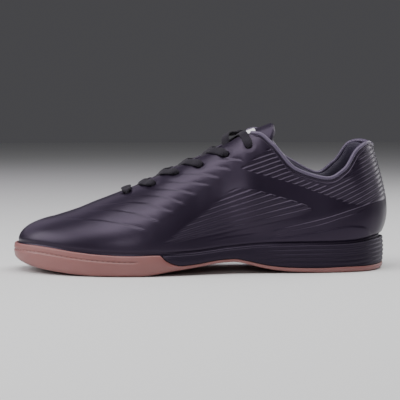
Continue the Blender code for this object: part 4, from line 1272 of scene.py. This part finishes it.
collar_q = rear_way(LINING_START, 300)
collar = sheet("padded_collar", collar_lines(collar_q), soft_lining, turn=True)
declare(collar, "black_lining", "collar_lining")


# Topline binding: a folded strip of the upper's synthetic over a cord, sewn along the
# collar's edge, so it reads as one smooth bead

BINDING_RADIUS = 0.0016

cord_cover = {"IOR": 1.5, "Specular Tint": linear("e2d2ee"), "Coat Weight": 0.15}
# Its base colour is much lighter than the upper's skin: a painted highlight standing in for the top
# light along the bead.
piping_painted_highlight = new_material("binding_synthetic_painted_highlight", "544c5e", 0.40, cord_cover)
grain(piping_painted_highlight, "Noise", "Fac", 1400.0, 0.15, 0.0002)


def binding_lines(q):
    """Lines along the bead, which sits on the top edge and has round ends."""
    normal = outwards(q, 1.0)
    forward = unit(last(q + 0.05, 1.0) - last(q - 0.05, 1.0))
    rise = unit(np.cross(forward, normal))
    rise = rise * np.sign(rise[:, 2:])
    middle = last(q, 1.0) - 0.5 * UPPER_WALL * normal
    middle = middle + rise * (BINDING_RADIUS + 1.5 * CLEARANCE)
    ends = np.minimum(1, np.minimum(np.arange(len(q)), np.arange(len(q))[::-1]) / 3)
    radius = (BINDING_RADIUS * np.sqrt(1 - (1 - ends) ** 2))[:, None]
    turns = np.linspace(0, 2 * math.pi, 17)
    return np.array([middle + radius * (normal * math.cos(a) + rise * math.sin(a)) for a in turns])


binding_q = rear_way(FACING_CORNER_ROW + 0.3, 460)
binding = sheet("topline_piping", binding_lines(binding_q), piping_painted_highlight)
declare(binding, "black_lining", "topline_binding")


# Laces: one flat woven cotton lace. It runs straight over the lowest pair of holes and
# crosses five times, each time over a facing's edge and down through the next hole.

LACE_WIDTH = 0.0066
LACE_THICKNESS = 0.0016
LACE_STEP = 0.0006
# Where each crossing passes the far edge and the near one, as shares of the hole pitch
LACE_ROUTE = ((0.44, 0.66), (0.12, 0.50), (0.12, 0.50), (0.12, 0.50), (0.12, 0.80))

# Where the lace lies on its way over the throat: place across, share of its run, lift, and
# 1 where it meets the other run and goes over or under it. The last crossing lies loose.
BAR_STOPS = ((0.0, 0.0016), (0.6, 0.0016), (0.95, 0.0015))
CROSSING_STOPS = ((-0.98, 0.0, -0.0023, 0), (-0.1, 0.45, -0.0018, 1), (0.62, 0.82, -0.0002, 0))
LOOSE_STOPS = (
    (-0.98, -0.12, -0.0021, 0),
    (-0.45, 0.02, 0.0030, 0),
    (0.10, 0.22, 0.0032, 0),
    (0.62, 0.58, 0.0010, 0),
)
OVER = 0.0010
UNDER = -0.0005

# From the facing's edge to the hole: share of the way, lift and thickness
LACE_DOWN_SIDE = ((0.45, 0.0009, 0.0018), (0.82, 0.0012, 0.0027))

# Lift, width and thickness of the lace as it goes down through a hole
LACE_DIVE = ((0.0006, 0.0050, 0.0030), (-0.0010, 0.0038, 0.0026), (-0.0022, 0.0040, 0.0020))

cotton = new_material("woven_lace", "26222a", 0.95, {"Specular IOR Level": 0.25, "Sheen Weight": 0.05})
weave = {"Distortion": 1.5, "Detail": 1.0}
grain(cotton, "Wave", "Fac", 330.0, 0.6, 0.0003, weave, "UV", bands_direction="DIAGONAL")


def lace_run(first):
    """Key points from the middle of the straight bar up one side and over to the top hole:
    place, width's direction, width and thickness."""

    def spot(side, i):
        q, v = HOLES[side][i]
        return float(fold(q)[1]), side * (2 - v)

    keys = []
    side = first

    def key(row, s, lift, wide, thick, direction=None):
        place = throat(np.array(row), np.array(s), np.array(lift))
        up = unit(throat(np.array(row), np.array(s), np.array(lift + 0.001)) - place)
        keys.append([place, up, wide, thick, direction])

    for i in range(len(EYELETS)):
        row, s = spot(side, i)
        if i == 0:
            for at, lift in BAR_STOPS:
                key(row, side * at, lift, 1.25 * LACE_WIDTH, 1.2 * LACE_THICKNESS)
            edge = row
        else:
            before = spot(side, i - 1)[0]
            start, edge = (before + share * (row - before) for share in LACE_ROUTE[i - 1])
            over = OVER if (i + (first > 0)) % 2 else UNDER
            loose = i == len(EYELETS) - 1 and over > 0
            for at, share, lift, meets in LOOSE_STOPS if loose else CROSSING_STOPS:
                wide = 0.9 * LACE_WIDTH if at < -0.9 else LACE_WIDTH
                place = start + (edge - start) * share
                key(place, side * at, lift + meets * over, wide, LACE_THICKNESS)
            key(edge, side, 0.0011, LACE_WIDTH, LACE_THICKNESS)
        for t, lift, thick in LACE_DOWN_SIDE:
            key(edge + (row - edge) * t, side + (s - side) * t, lift, 1.02 * LACE_WIDTH, thick)
        for lift, wide, thick in LACE_DIVE:
            key(row, s, lift, wide, thick, "down")
        if i < len(EYELETS) - 1:
            above = spot(-side, i + 1)[0]
            leave = row + LACE_ROUTE[i][0] * (above - row)
            for t in (0.35, 0.75):
                across = s + (side * 0.98 - s) * t
                key(row + (leave - row) * t, across, -0.0026, 0.85 * LACE_WIDTH, 0.0011)
        side = -side
    return keys


def lace_lines():
    """Lines along the whole lace, from one top hole over the bar to the other one."""
    keys = lace_run(-1)[::-1] + lace_run(1)[1:]
    places = np.array([key[0] for key in keys])
    ups = np.array([key[1] for key in keys])
    downs = np.array([key[4] == "down" for key in keys])
    widths = np.zeros_like(places)
    for i in range(len(keys)):
        before, after = max(i - 1, 0), min(i + 1, len(keys) - 1)
        forward = places[after] - places[before]
        if downs[i]:
            near = i - 1
            while near > 0 and downs[near]:
                near -= 1
            forward = places[i] - places[near]
        forward = forward - ups[i] * np.dot(forward, ups[i])
        wide = unit(np.cross(forward, ups[i]))
        if i and np.dot(wide, widths[i - 1]) < 0:
            wide = -wide
        widths[i] = wide
    sizes = np.array([key[2:4] for key in keys])
    chords = np.sqrt(np.linalg.norm(np.diff(places, axis=0), axis=1))
    knots = np.concatenate(((0,), np.cumsum(chords)))
    table = np.hstack((places, widths, sizes))
    slopes = np.gradient(table, knots, axis=0)
    fine = np.linspace(0, knots[-1], 6 * len(keys))
    reached = walked(hermite(knots, table, slopes, fine)[:, :3])
    even = np.interp(np.arange(0, reached[-1], LACE_STEP), reached, fine)
    path = hermite(knots, table, slopes, even)
    forward = unit(np.gradient(path[:, :3], axis=0))
    wide = unit(path[:, 3:6] - forward * np.sum(path[:, 3:6] * forward, axis=1, keepdims=True))
    up = np.cross(wide, forward)
    lines = []
    for angle in np.linspace(0, 2 * math.pi, 17):
        a = np.sign(math.cos(angle)) * abs(math.cos(angle)) ** 0.55
        b = np.sign(math.sin(angle)) * abs(math.sin(angle)) ** 0.8
        lines.append(path[:, :3] + 0.5 * (a * path[:, 6:7] * wide + b * path[:, 7:8] * up))
    return np.array(lines)


crossings = [f"lace_cross_{number}" for number in range(2, 7)]
declare(sheet("flat_lace", lace_lines(), cotton), "black_lace", "lace_bar_1", *crossings)
